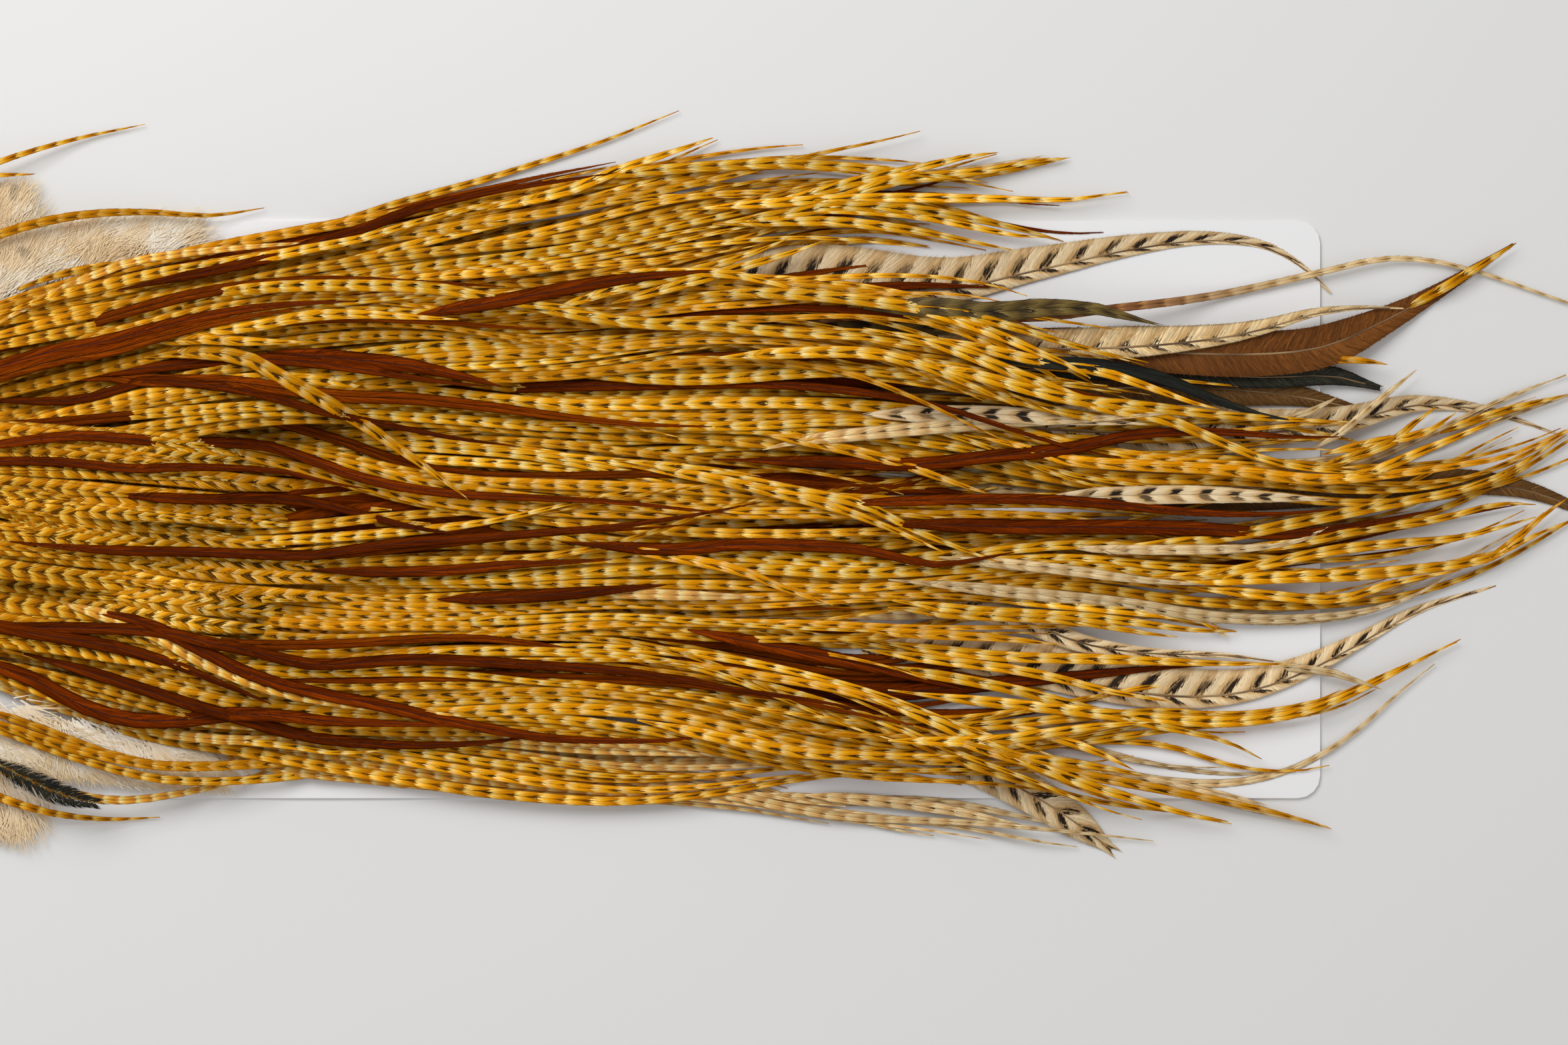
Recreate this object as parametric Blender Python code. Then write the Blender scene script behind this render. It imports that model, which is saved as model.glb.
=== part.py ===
"""A rooster saddle hackle: a strip of dried skin with its long barred feathers, on a white backing card.

The feathers grow from the skin in locks, which lie over each other in a low pile and fan out past the card.
+X runs along the feathers to their tips, +Y across the saddle and +Z up. The origin is the centre of the
card's underside. Sizes and places are in millimetres, and metres() gives them to Blender.
"""

import math
from collections import namedtuple

import bmesh
import bpy
import numpy as np

# The driving dimensions, in millimetres.
CARD_LENGTH = 344.0
CARD_WIDTH = 116.0
CARD_THICKNESS = 0.7
CARD_CORNER = 4.5
CORNER_STEPS = 5
SKIN_THICKNESS = 1.5
LOCK_THICKNESS = 1.4
VANE_THICKNESS = 1.0
DOWN_THICKNESS = 2.6
GAP = 0.3

# How the locks settle on each other.
CELL = 0.5
FIELD_LOW = (-180.0, -85.0)
FIELD_SIZE = (860, 350)
EDGE_MARGIN = 0.4
FLOOR_CLEARANCE = 0.3
STEEPEST = 0.3
SETTLE_PASSES = 40

# Where the rows of locks are rooted along the skin, and how much closer together the roots are.
ROW_ROOTS = [-102, -113, -124, -135, -146]
ROOT_SPREAD = 0.8

STATION_SPACING = 24.0
FEWEST_STATIONS = 7
MOST_STATIONS = 13
CURVE_SAMPLES = 16
FORK_STATIONS = 6
FORK_WIDTH = 0.62
WELD_DISTANCE = 0.00002

Strand = namedtuple("Strand", "name kind half_width finish path fork", defaults=[None])

# Each cross-section goes round from its lower right corner, as shares of the half width and of the thickness.
SECTIONS = {
    "lock": [(0.6, 0), (-0.6, 0), (-1, 0.4), (-0.55, 1), (0, 0.62), (0.55, 1), (1, 0.4)],
    "vane": [(0.7, 0), (-0.7, 0), (-1, 0.3), (-0.1, 1), (0.1, 1), (1, 0.3)],
    "down": [(0.7, 0), (-0.7, 0), (-1, 0.4), (-0.7, 0.8), (-0.25, 1), (0.2, 0.8), (0.6, 0.85), (1, 0.4)],
}
THICKNESSES = {"lock": LOCK_THICKNESS, "vane": VANE_THICKNESS, "down": DOWN_THICKNESS}
SECTION_OF = {
    "lock": "lock", "fork": "lock", "crown": "lock", "vane": "vane", "tapered": "vane", "blunt": "vane",
    "down": "down",
}

# The width along a strand, as (share of its length, share of its half width).
TAPERS = {
    "lock": [
        (0, 0.22), (0.15, 0.4), (0.32, 0.8), (0.5, 1), (0.68, 0.92), (0.84, 0.64), (0.93, 0.4), (1, 0.13),
    ],
    "fork": [(0, 0.7), (0.3, 1), (0.7, 0.8), (1, 0.2)],
    "vane": [(0, 0.25), (0.25, 0.75), (0.5, 1), (0.7, 0.9), (0.85, 0.5), (1, 0.1)],
    "tapered": [(0, 0.3), (0.2, 0.8), (0.38, 1), (0.6, 0.62), (0.75, 0.3), (1, 0.08)],
    "crown": [(0, 0.3), (0.3, 0.9), (0.6, 1), (0.85, 0.7), (1, 0.25)],
    "blunt": [(0, 0.3), (0.4, 0.8), (0.7, 1), (0.9, 0.8), (1, 0.15)],
    "down": [(0, 0.35), (0.3, 0.8), (0.6, 1), (0.85, 0.85), (1, 0.3)],
}

SKIN_OUTLINE = [
    (-167, 3), (-163, 20), (-149, 34), (-125, 41), (-101, 40), (-86, 26),
    (-82, 2), (-86, -22), (-100, -35), (-124, -39), (-148, -33), (-163, -18),
]

# Downy body feathers along the edges of the skin.
DOWN = [
    Strand("down_plume_head", "down", 11, "down", [(-148, 2), (-156, 3), (-163, 4), (-169, 4)]),
    Strand("down_plume_upper_left", "down", 10, "down",
           [(-138, 34), (-124, 43), (-109, 52), (-96, 59), (-87, 63)]),
    Strand("down_plume_upper_right", "down", 8.5, "down",
           [(-122, 39), (-103, 46), (-84, 51), (-68, 54.5), (-52, 56.5)]),
    Strand("down_plume_lower_left", "down", 10, "down",
           [(-136, -33), (-124, -42), (-109, -51), (-96, -59), (-87, -65)]),
    Strand("down_plume_lower_right", "down", 7.5, "down",
           [(-118, -37), (-101, -43.4), (-83, -48), (-64, -51), (-45, -53.5)]),
]

# Broad side and tail feathers, under the hackle.
BROAD = [
    Strand("grizzly_feather_upper", "tapered", 7.5, "grizzly",
           [(10, 38), (40, 42), (68, 45), (95, 44), (115, 48), (133, 52), (148, 54), (160, 53),
            (168, 49), (174, 43.6)]),
    Strand("brown_feather_under", "vane", 6.0, "tan_brown",
           [(60, 21), (90, 23), (120, 24), (145, 24.5), (165, 23), (183, 19.5)]),
    Strand("black_feather_tip", "blunt", 2.6, "black",
           [(80, 27), (110, 28), (140, 27.5), (160, 26.5), (174, 26.8), (184, 24.4)]),
    Strand("brown_feather_upper", "vane", 5.6, "dark_brown",
           [(90, 33), (115, 33), (140, 31.5), (158, 31), (172, 32.5), (184, 37.5), (196, 44),
            (211, 53.4)]),
    Strand("cream_feather_upper", "tapered", 4.4, "cream",
           [(95, 33), (115, 32), (135, 32.5), (150, 34), (160, 36), (170, 39), (180, 40.3),
            (188.5, 40.3)]),
    Strand("grizzly_feather_right", "tapered", 6.0, "grizzly",
           [(100, 17), (130, 15.5), (155, 15), (175, 17), (190, 20.8), (203, 20.3), (212, 17.8),
            (220, 15)]),
    Strand("brown_feather_right", "vane", 3.4, "tan_brown",
           [(120, 1), (150, 1.5), (178, 3.6), (197, 5.4), (212, 4.2), (224, 0), (235, -6)]),
    Strand("barred_feather_lower", "blunt", 4.4, "grizzly",
           [(50, -42), (72, -45), (92, -48), (105, -52.6), (115, -57.8), (123, -63), (130, -68.3)]),
    Strand("grizzly_feather_lower", "tapered", 6.4, "grizzly",
           [(80, -28), (105, -31), (125, -35), (142, -37.5), (156, -36.8), (168, -33), (179, -27.5),
            (192, -20.4), (207.5, -15.4)]),
    Strand("barred_feather_right", "tapered", 2.6, "grizzly",
           [(80, -17), (100, -19.5), (113, -22.6), (124, -26.8), (137, -28.8), (152, -29.2),
            (165, -30.8)]),
]

# Thin locks at the edges of the saddle, which lie beside the rest.
FREE_LOCKS = [
    Strand("lock_upper_left_long", "lock", 1.3, "gold",
           [(-141, 33), (-126, 47), (-110, 60), (-93, 68.8), (-78, 74.3), (-64, 77.4)],
           [(-116, 52.5), (-106, 61), (-96, 66.2), (-86, 67.3)]),
    Strand("lock_lower_left_curl", "lock", 1.6, "gold",
           [(-136, -33), (-122, -43), (-108, -51), (-95, -56.6), (-83, -60.8), (-72, -62.3),
            (-61, -61.8)]),
    Strand("lock_black_based", "lock", 2.0, "cream",
           [(-130, -33), (-114, -42), (-99, -49), (-84, -55.2), (-70, -58.3), (-56, -57), (-43, -53.8),
            (-31, -49.8)]),
    Strand("lock_lower_long", "lock", 1.8, "gold",
           [(-124, -37), (-109, -40), (-93, -43), (-78, -48), (-60, -52.2), (-40, -52.6), (-22, -51),
            (-4, -48.6), (15, -48), (34, -49.4), (50, -52.6), (65, -56)],
           [(-96, -39.5), (-84, -44), (-71, -48.6), (-58, -50.8)]),
    Strand("lock_upper_left_curl", "lock", 1.5, "gold",
           [(-124, 35), (-107, 46), (-91, 54), (-77, 58), (-64, 59.2), (-51, 58.8), (-40, 60.6)]),
]

# The rows of saddle hackle, from the tail end of the skin to the head end. Each row lies on the one before,
# and a lock gets its root from its row.
LOCK_ROWS = [
    [
        Strand("lock_right_thin", "lock", 1.7, "brown",
               [(-66, 21), (-20, 32), (30, 36), (75, 37), (110, 36.6), (132, 40.4), (155, 43.8),
                (172, 46.4), (187, 48.5), (203, 46.6), (222, 41.4), (235, 37)]),
        Strand("lock_right_sweep", "lock", 2.6, "cream",
               [(-50, 12), (0, 16), (50, 13.6), (95, 9), (130, 6), (158, 6.4), (178, 9), (193, 13.8),
                (206, 18.6), (222, 23.4), (236, 27)]),
        Strand("lock_pale_right", "lock", 2.4, "cream",
               [(-60, -12), (-20, -14.4), (30, -14), (80, -13), (112, -13.4), (135, -16), (158, -20.8),
                (176, -20.8), (190, -17), (201, -11.4)]),
        Strand("lock_pale_lower", "lock", 2.2, "cream",
               [(-66, -30), (-28, -40.6), (20, -43.8), (66, -45.6), (100, -46), (121, -48),
                (137, -50.8), (152, -51.3), (165, -49.2), (177, -44), (187, -37), (195, -31)],
               [(112, -48.5), (132, -54), (154, -58.8), (173.5, -63.7)]),
        Strand("lock_pale_edge", "lock", 2.6, "cream",
               [(-84, -33.6), (-62, -39.4), (-40, -46.6), (-18, -49), (6, -51.6), (30, -54),
                (54, -56.8), (74, -60), (98, -61.6), (120, -64.4), (138.5, -66.6)],
               [(56, -56.5), (74, -57.8), (98, -59.4), (121, -63.4)]),
        Strand("lock_gold_edge", "lock", 1.9, "gold",
               [(-86, -36), (-64, -42.6), (-40, -45.6), (-14, -49.6), (8, -53), (30, -55), (48, -54.2),
                (66, -52.3), (84, -52.3), (100, -55.3)]),
        Strand("lock_upper_edge", "lock", 1.9, "brown",
               [(-80, 43.6), (-62, 46.6), (-46, 49.4), (-30, 52.8), (-10, 59), (10, 63.4), (30, 67.2),
                (41, 70.4), (51, 74.3)]),
    ],
    [
        Strand("lock_upper_a", "lock", 2.6, "gold",
               [(-92, 38.6), (-74, 42.6), (-56, 46), (-32, 50), (-8, 55), (16, 60.6), (40, 66.4),
                (62, 69), (84, 68.2), (105, 65.7)]),
        Strand("lock_upper_c", "lock", 3.2, "gold",
               [(-90, 32.6), (-64, 37.4), (-38, 41.8), (-10, 47.6), (20, 53.2), (48, 58.6), (72, 61.6),
                (96, 62.5), (118, 62.2), (133.5, 63.7)]),
        Strand("lock_upper_e", "lock", 3.2, "gold",
               [(-84, 26.6), (-58, 31.4), (-30, 38), (-2, 43.4), (24, 47.6), (46, 52.4), (66, 56.8),
                (82, 57.2), (97, 54.6), (110, 52.2)]),
        Strand("lock_mid_b", "lock", 3.4, "gold",
               [(-88, 20.6), (-60, 25), (-32, 31), (-4, 34.6), (26, 35.4), (54, 36.8), (80, 35.8),
                (103, 32.2), (126, 27.6), (151, 20)]),
        Strand("lock_centre_b", "lock", 3.4, "gold",
               [(-84, 10.6), (-52, 13.6), (-26, 16.8), (2, 16.4), (30, 14.6), (58, 15), (84, 13.6),
                (108, 11.6), (134, 11.6), (160, 13.4), (175, 13.6), (187, 11.2)]),
        Strand("lock_centre_f", "lock", 3.2, "gold",
               [(-78, -5), (-54, -5.4), (-28, -7), (0, -8.6), (26, -8.2), (50, -6.8), (74, -5.6),
                (98, -7), (122, -8.2), (148, -8.4), (174, -5.4), (196, -1.6), (213, 1.2)]),
        Strand("lock_lower_b", "lock", 3.4, "gold",
               [(-84, -11), (-50, -14.4), (-24, -17), (4, -17), (30, -16.4), (56, -17), (80, -17),
                (104, -15), (128, -15.4), (152, -16.6), (174, -15.4), (192, -11.4), (206, -6.6),
                (214, -2.8)]),
        Strand("lock_lower_d", "lock", 3.4, "gold",
               [(-80, -17.6), (-48, -21.6), (-20, -24.8), (8, -24.4), (34, -24), (58, -25.8),
                (82, -28.6), (106, -31.4), (126, -34.6), (143, -38)]),
        Strand("lock_lower_g", "lock", 3.2, "gold",
               [(-84, -24), (-56, -29.6), (-28, -33.6), (0, -34.4), (26, -35.4), (52, -40), (76, -45.4),
                (100, -46.6), (121, -44.6), (141, -42.4), (158, -42.4), (173, -39.2), (186, -33),
                (199.5, -26.6)]),
        Strand("lock_lower_i", "lock", 2.8, "cream",
               [(-92, -32), (-74, -36.6), (-52, -40.6), (-28, -42.4), (0, -43.8), (28, -45.6),
                (54, -47.2), (76, -49.4), (93, -51.6)]),
    ],
    [
        Strand("lock_upper_b", "lock", 3.2, "gold",
               [(-94, 35.4), (-70, 40), (-42, 45.4), (-14, 51.2), (16, 57.2), (44, 62.8), (68, 65.6),
                (88, 66.9), (107, 71.4)],
               [(76, 65.6), (90, 66.4), (104, 67.6), (121, 70.6)]),
        Strand("lock_upper_d", "lock", 3.2, "gold",
               [(-92, 29.6), (-62, 35), (-32, 41.4), (-4, 46.4), (24, 50.8), (50, 55.6), (72, 59.6),
                (90, 59.7), (106, 57.3), (120.4, 53.9)]),
        Strand("lock_mid_a", "lock", 3.3, "gold",
               [(-92, 23.6), (-64, 29.4), (-36, 35), (-8, 38.6), (22, 39.2), (50, 41.4), (75, 41.2),
                (98, 38.4), (118, 33.4), (137, 29.3)],
               [(88, 38.5), (100, 36.6), (113, 32), (126, 25)]),
        Strand("lock_mid_d", "lock", 3.4, "gold",
               [(-88, 15.6), (-58, 20.6), (-28, 27.6), (2, 29.4), (34, 29.6), (64, 30), (92, 27.6),
                (120, 23), (148, 19.4), (178, 17.6)]),
        Strand("lock_centre_e", "lock", 3.2, "gold",
               [(-82, 1), (-58, 4), (-34, 4.6), (-10, 2.2), (12, -0.6), (36, -3.4), (60, -3.6),
                (84, -3.2), (106, -5), (128, -6.6), (152, -5.4), (174, -1.6), (196, 4.4), (216, 12),
                (232, 20)]),
        Strand("lock_lower_a", "lock", 3.4, "gold",
               [(-76, -9), (-52, -11), (-26, -12.4), (2, -12.4), (28, -11.6), (54, -11.4), (78, -12.4),
                (100, -11), (122, -9.8), (146, -12), (170, -13), (192, -11.4), (208, -7.6), (222, -1.6),
                (233, 4)]),
        Strand("lock_lower_c", "lock", 3.4, "gold",
               [(-92, -14), (-70, -17.6), (-46, -20.4), (-20, -22), (6, -20.8), (30, -19.6),
                (54, -20.6), (78, -20.4), (102, -20.2), (124, -21.2), (142, -22.8), (155, -24.4)]),
        Strand("lock_lower_h", "lock", 3.2, "gold",
               [(-90, -28.6), (-64, -34), (-38, -37.6), (-10, -38.8), (18, -39.2), (42, -41.8),
                (62, -46), (82, -48.8), (104, -49.4), (120, -50.8), (136, -53.4)]),
    ],
    [
        Strand("lock_upper_f", "lock", 2.6, "gold",
               [(-96, 27), (-64, 32.6), (-36, 37.8), (-10, 40.8), (14, 42.2), (36, 44.8), (55, 48.6),
                (72, 53.6)]),
        Strand("lock_mid_c", "lock", 3.4, "gold",
               [(-98, 18), (-68, 23.6), (-38, 28.4), (-8, 31.6), (22, 32), (50, 33.6), (74, 33),
                (92, 29.2), (107, 23.8), (119, 18.8)]),
        Strand("lock_centre_a", "lock", 3.4, "gold",
               [(-96, 13), (-66, 18.6), (-36, 22.8), (-8, 21.8), (20, 19.6), (50, 18.8), (78, 17.4),
                (103, 14.6), (128, 9.6), (155, 7.4), (178, 5.6), (198, 7.6), (216, 13.6), (232, 22)]),
        Strand("lock_centre_c", "lock", 3.4, "gold",
               [(-92, 7.6), (-62, 10.8), (-36, 13), (-8, 12.6), (18, 11.4), (42, 7.6), (63, 3.2),
                (84, -2.6), (105, -9.8)]),
        Strand("lock_lower_e", "lock", 3.2, "gold",
               [(-102, -18), (-80, -21.6), (-56, -25.6), (-30, -28.6), (-4, -28.4), (22, -28),
                (44, -29.6), (64, -33.4), (83, -38.4), (100, -45), (115, -50.4), (132, -57),
                (153.5, -62.7)]),
        Strand("lock_brown_lower", "lock", 2.6, "brown",
               [(-110, -22), (-90, -24.4), (-68, -27.6), (-46, -31), (-24, -31.6), (0, -30.6),
                (24, -31.6), (45, -33.6), (64, -37.4), (82, -41.4), (96, -44)]),
    ],
    [
        Strand("lock_brown_upper", "lock", 3.0, "brown",
               [(-112, 24.6), (-94, 28), (-80, 31.4), (-63, 34.8), (-46, 38), (-26, 40.4), (-4, 41),
                (16, 40.4), (34, 40)]),
        Strand("lock_brown_centre", "lock", 3.0, "brown",
               [(-116, 12), (-94, 13.4), (-72, 14), (-48, 13.4), (-28, 9.6), (-8, 4.8), (14, 2.6),
                (38, 1.4), (64, 0.8), (92, 0.6), (118, 0.8), (142, -1.6), (165, -1.8), (186, 1.6)]),
        Strand("lock_brown_cross", "lock", 2.6, "brown",
               [(-108, -7), (-84, -8.2), (-60, -8.8), (-36, -8.6), (-12, -6.6), (12, -4.8), (34, -2.2),
                (50, 0.6), (64, 3)]),
    ],
]

# Short broad locks at the head end, on top of the pile.
TOP_LOCKS = [
    Strand("lock_top_lower", "crown", 6.5, "gold",
           [(-154, -14), (-130, -15), (-104, -16.4), (-80, -19), (-60, -21.8), (-42, -24)]),
    Strand("lock_top_upper", "crown", 6.5, "gold",
           [(-155, 13), (-130, 11.6), (-106, 9.6), (-82, 8), (-60, 6.2), (-40, 4.6)]),
    Strand("lock_top_middle", "crown", 6.5, "gold",
           [(-157, 1), (-132, 0), (-108, -2), (-84, -4.6), (-62, -7.4), (-43, -9.6)]),
]

FINISHES = {
    "card": ((0.86, 0.86, 0.87), 0.45),
    "hide": ((0.52, 0.36, 0.2), 0.7),
    "down": ((0.72, 0.62, 0.48), 0.95),
    "gold": ((0.62, 0.33, 0.05), 0.5),
    "brown": ((0.2, 0.045, 0.01), 0.4),
    "dark_brown": ((0.14, 0.045, 0.02), 0.5),
    "tan_brown": ((0.2, 0.1, 0.045), 0.55),
    "cream": ((0.66, 0.5, 0.3), 0.55),
    "grizzly": ((0.58, 0.44, 0.26), 0.6),
    "black": ((0.02, 0.02, 0.018), 0.4),
}


def metres(value):
    """A length or a place in millimetres, in metres."""
    return np.asarray(value, float) * 0.001


def clear_scene():
    for obj in list(bpy.data.objects):
        bpy.data.objects.remove(obj, do_unlink=True)


def material(name):
    colour, roughness = FINISHES[name]
    made = bpy.data.materials.get(name) or bpy.data.materials.new(name)
    made.use_nodes = True
    shader = made.node_tree.nodes["Principled BSDF"]
    shader.inputs["Base Color"].default_value = (*colour, 1)
    shader.inputs["Roughness"].default_value = roughness
    shader.inputs["Metallic"].default_value = 0
    return made


def add_object(name, data, finish, collection):
    obj = bpy.data.objects.new(name, data)
    data.materials.append(material(finish))
    collection.objects.link(obj)
    return obj


def smooth_places(points, count):
    """Evenly spaced places on a smooth curve through the points, with their shares of its length."""
    points = np.array(points, float)
    padded = np.vstack([2 * points[0] - points[1], points, 2 * points[-1] - points[-2]])
    steps = np.linspace(0, 1, CURVE_SAMPLES, endpoint=False)[:, None]
    pieces = []
    for before, start, end, after in zip(padded, padded[1:], padded[2:], padded[3:]):
        pieces.append(0.5 * (
            2 * start
            + (end - before) * steps
            + (2 * before - 5 * start + 4 * end - after) * steps**2
            + (3 * start - before - 3 * end + after) * steps**3
        ))
    fine = np.vstack([*pieces, points[-1:]])
    along = np.concatenate([[0], np.cumsum(np.linalg.norm(np.diff(fine, axis=0), axis=1))])
    wanted = np.linspace(0, along[-1], count)
    places = np.column_stack([np.interp(wanted, along, fine[:, axis]) for axis in (0, 1)])
    return places, wanted / along[-1]


def station_count(points):
    length = np.linalg.norm(np.diff(np.array(points, float), axis=0), axis=1).sum()
    return int(np.clip(round(length / STATION_SPACING) + 1, FEWEST_STATIONS, MOST_STATIONS))


def taper(kind, shares):
    known = np.array(TAPERS[kind])
    return np.interp(shares, known[:, 0], known[:, 1])


class Pile:
    """The height of everything laid so far, for each cell of a grid over the card and around it."""

    def __init__(self):
        self.top = np.zeros(FIELD_SIZE)
        self.across = [FIELD_LOW[axis] + CELL * np.arange(FIELD_SIZE[axis]) for axis in (0, 1)]

    def strips(self, places, half_widths):
        """For each stretch between two places, its window of cells, those near it and their shares of it."""
        for index, (start, end) in enumerate(zip(places, places[1:])):
            reach = max(half_widths[index:index + 2]) + EDGE_MARGIN
            window = tuple(
                slice(
                    int((min(start[axis], end[axis]) - reach - FIELD_LOW[axis]) / CELL),
                    int((max(start[axis], end[axis]) + reach - FIELD_LOW[axis]) / CELL) + 2,
                )
                for axis in (0, 1)
            )
            x, y = np.meshgrid(self.across[0][window[0]], self.across[1][window[1]], indexing="ij")
            line = end - start
            share = ((x - start[0]) * line[0] + (y - start[1]) * line[1]) / (line @ line)
            share = np.clip(share, 0, 1)
            away = np.hypot(x - start[0] - share * line[0], y - start[1] - share * line[1])
            yield index, window, away <= reach, share

    def rest_heights(self, places, half_widths):
        """The lowest smooth line on which a strand can lie on the pile, one height for each place."""
        heights = np.full(len(places), FLOOR_CLEARANCE)
        along = np.concatenate([[0], np.cumsum(np.linalg.norm(np.diff(places, axis=0), axis=1))])
        apart = np.abs(along[:, None] - along[None, :])
        strips = list(self.strips(places, half_widths))
        for _ in range(SETTLE_PASSES):
            for index, window, inside, share in strips:
                below = self.top[window][inside] + GAP
                share = share[inside]
                short = below - heights[index] * (1 - share) - heights[index + 1] * share
                worst = short.argmax()
                if short[worst] > 0:
                    first = 1 - share[worst]
                    second = share[worst]
                    lift = short[worst] / (first**2 + second**2)
                    heights[index] += lift * first
                    heights[index + 1] += lift * second
            heights = (heights[None, :] - STEEPEST * apart).max(axis=1)
        return heights

    def cover(self, places, half_widths, tops):
        for index, window, inside, share in self.strips(places, half_widths):
            surface = tops[index] * (1 - share) + tops[index + 1] * share
            self.top[window][inside] = np.maximum(self.top[window], surface)[inside]

    def cover_outline(self, outline, top):
        """Raises the cells inside a closed outline."""
        x, y = np.meshgrid(*self.across, indexing="ij")
        inside = np.zeros(x.shape, bool)
        for (ax, ay), (bx, by) in zip(outline, np.roll(outline, -1, axis=0)):
            crosses = (ay > y) != (by > y)
            rise = (by - ay) if by != ay else 1.0
            inside ^= crosses & (x < ax + (y - ay) * (bx - ax) / rise)
        self.top[inside] = np.maximum(self.top[inside], top)


def section_profile(kind, half_width, helpers):
    """The closed cross-section that a strand's curve carries along itself, with its foot on the curve."""
    data = bpy.data.curves.new(f"{kind}_section", "CURVE")
    data.dimensions = "2D"
    outline = SECTIONS[kind]
    spline = data.splines.new("POLY")
    spline.points.add(len(outline) - 1)
    for point, (across, up) in zip(spline.points, outline):
        point.co = (*metres((across * half_width, up * THICKNESSES[kind])), 0, 1)
    spline.use_cyclic_u = True
    profile = bpy.data.objects.new(data.name, data)
    profile.hide_render = True
    profile.display_type = "WIRE"
    helpers.objects.link(profile)
    return profile


def strand_curve(name, kind, half_width, finish, places, radii, heights, collections):
    """A curve object that sweeps the section of its kind along the places."""
    parts, helpers = collections
    data = bpy.data.curves.new(name, "CURVE")
    data.dimensions = "3D"
    data.twist_mode = "Z_UP"
    data.bevel_mode = "OBJECT"
    data.bevel_object = section_profile(SECTION_OF[kind], half_width, helpers)
    data.use_fill_caps = True
    spline = data.splines.new("POLY")
    spline.points.add(len(places) - 1)
    for point, place, height, radius in zip(spline.points, places, heights, radii):
        point.co = (*metres((*place, height)), 1)
        point.radius = radius
    return add_object(name, data, finish, parts)


def as_mesh(curve_object):
    """Replaces a curve object by a closed mesh object of the same name."""
    bpy.context.view_layer.update()
    graph = bpy.context.evaluated_depsgraph_get()
    mesh = bpy.data.meshes.new_from_object(curve_object.evaluated_get(graph))
    work = bmesh.new()
    work.from_mesh(mesh)
    bmesh.ops.remove_doubles(work, verts=work.verts, dist=WELD_DISTANCE)
    bmesh.ops.recalc_face_normals(work, faces=work.faces)
    work.to_mesh(mesh)
    work.free()
    name = curve_object.name
    home = curve_object.users_collection[0]
    place = curve_object.matrix_world.copy()
    bpy.data.objects.remove(curve_object)
    obj = bpy.data.objects.new(name, mesh)
    obj.matrix_world = place
    home.objects.link(obj)
    return obj


def join_fork(lock, fork):
    """Joins a lock's second tip to it. The tip stays in the helpers' collection as a cutter does."""
    union = lock.modifiers.new("second_tip", "BOOLEAN")
    union.operation = "UNION"
    union.solver = "EXACT"
    union.object = fork
    fork.hide_render = True
    fork.display_type = "WIRE"


def lay_strand(strand, pile, collections):
    """Lays one feather or lock on the pile and adds its object."""
    places, shares = smooth_places(strand.path, station_count(strand.path))
    radii = taper(strand.kind, shares)
    thickness = THICKNESSES[SECTION_OF[strand.kind]]
    heights = pile.rest_heights(places, radii * strand.half_width)
    lock = strand_curve(strand.name, strand.kind, strand.half_width, strand.finish, places, radii, heights,
                        collections)
    laid = [(places, radii * strand.half_width, heights + radii * thickness)]
    if strand.fork:
        fork_half = strand.half_width * FORK_WIDTH
        tips, tip_shares = smooth_places(strand.fork, FORK_STATIONS)
        tip_radii = taper("fork", tip_shares)
        tip_heights = pile.rest_heights(tips, tip_radii * fork_half)
        nearest = np.linalg.norm(places - tips[0], axis=1).argsort()[:2]
        tip_heights[0] = heights[nearest].mean() + GAP / 2
        fork = strand_curve(f"{strand.name}_tip", "fork", fork_half, strand.finish, tips, tip_radii,
                            tip_heights, (collections[1], collections[1]))
        join_fork(as_mesh(lock), as_mesh(fork))
        laid.append((tips, tip_radii * fork_half, tip_heights + tip_radii * thickness))
    for entry in laid:
        pile.cover(*entry)


def flat_sheet(name, outline, low, thickness, finish, parts):
    """A flat sheet with a closed outline, between two heights."""
    data = bpy.data.curves.new(name, "CURVE")
    data.dimensions = "2D"
    data.fill_mode = "BOTH"
    data.extrude = float(metres(thickness / 2))
    spline = data.splines.new("POLY")
    spline.points.add(len(outline) - 1)
    for point, place in zip(spline.points, outline):
        point.co = (*metres(place), 0, 1)
    spline.use_cyclic_u = True
    sheet = add_object(name, data, finish, parts)
    sheet.location.z = float(metres(low + thickness / 2))
    return sheet


def card_outline():
    """A rectangle with round corners."""
    places = []
    for turn, (sx, sy) in enumerate([(1, 1), (-1, 1), (-1, -1), (1, -1)]):
        centre = np.array([sx * (CARD_LENGTH / 2 - CARD_CORNER), sy * (CARD_WIDTH / 2 - CARD_CORNER)])
        for step in range(CORNER_STEPS):
            angle = math.radians(90 * (turn + step / (CORNER_STEPS - 1)))
            places.append(centre + CARD_CORNER * np.array([math.cos(angle), math.sin(angle)]))
    return places


def skin_outline():
    closed = SKIN_OUTLINE + SKIN_OUTLINE[:1]
    return smooth_places(closed, 3 * len(SKIN_OUTLINE) + 1)[0][:-1]


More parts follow.
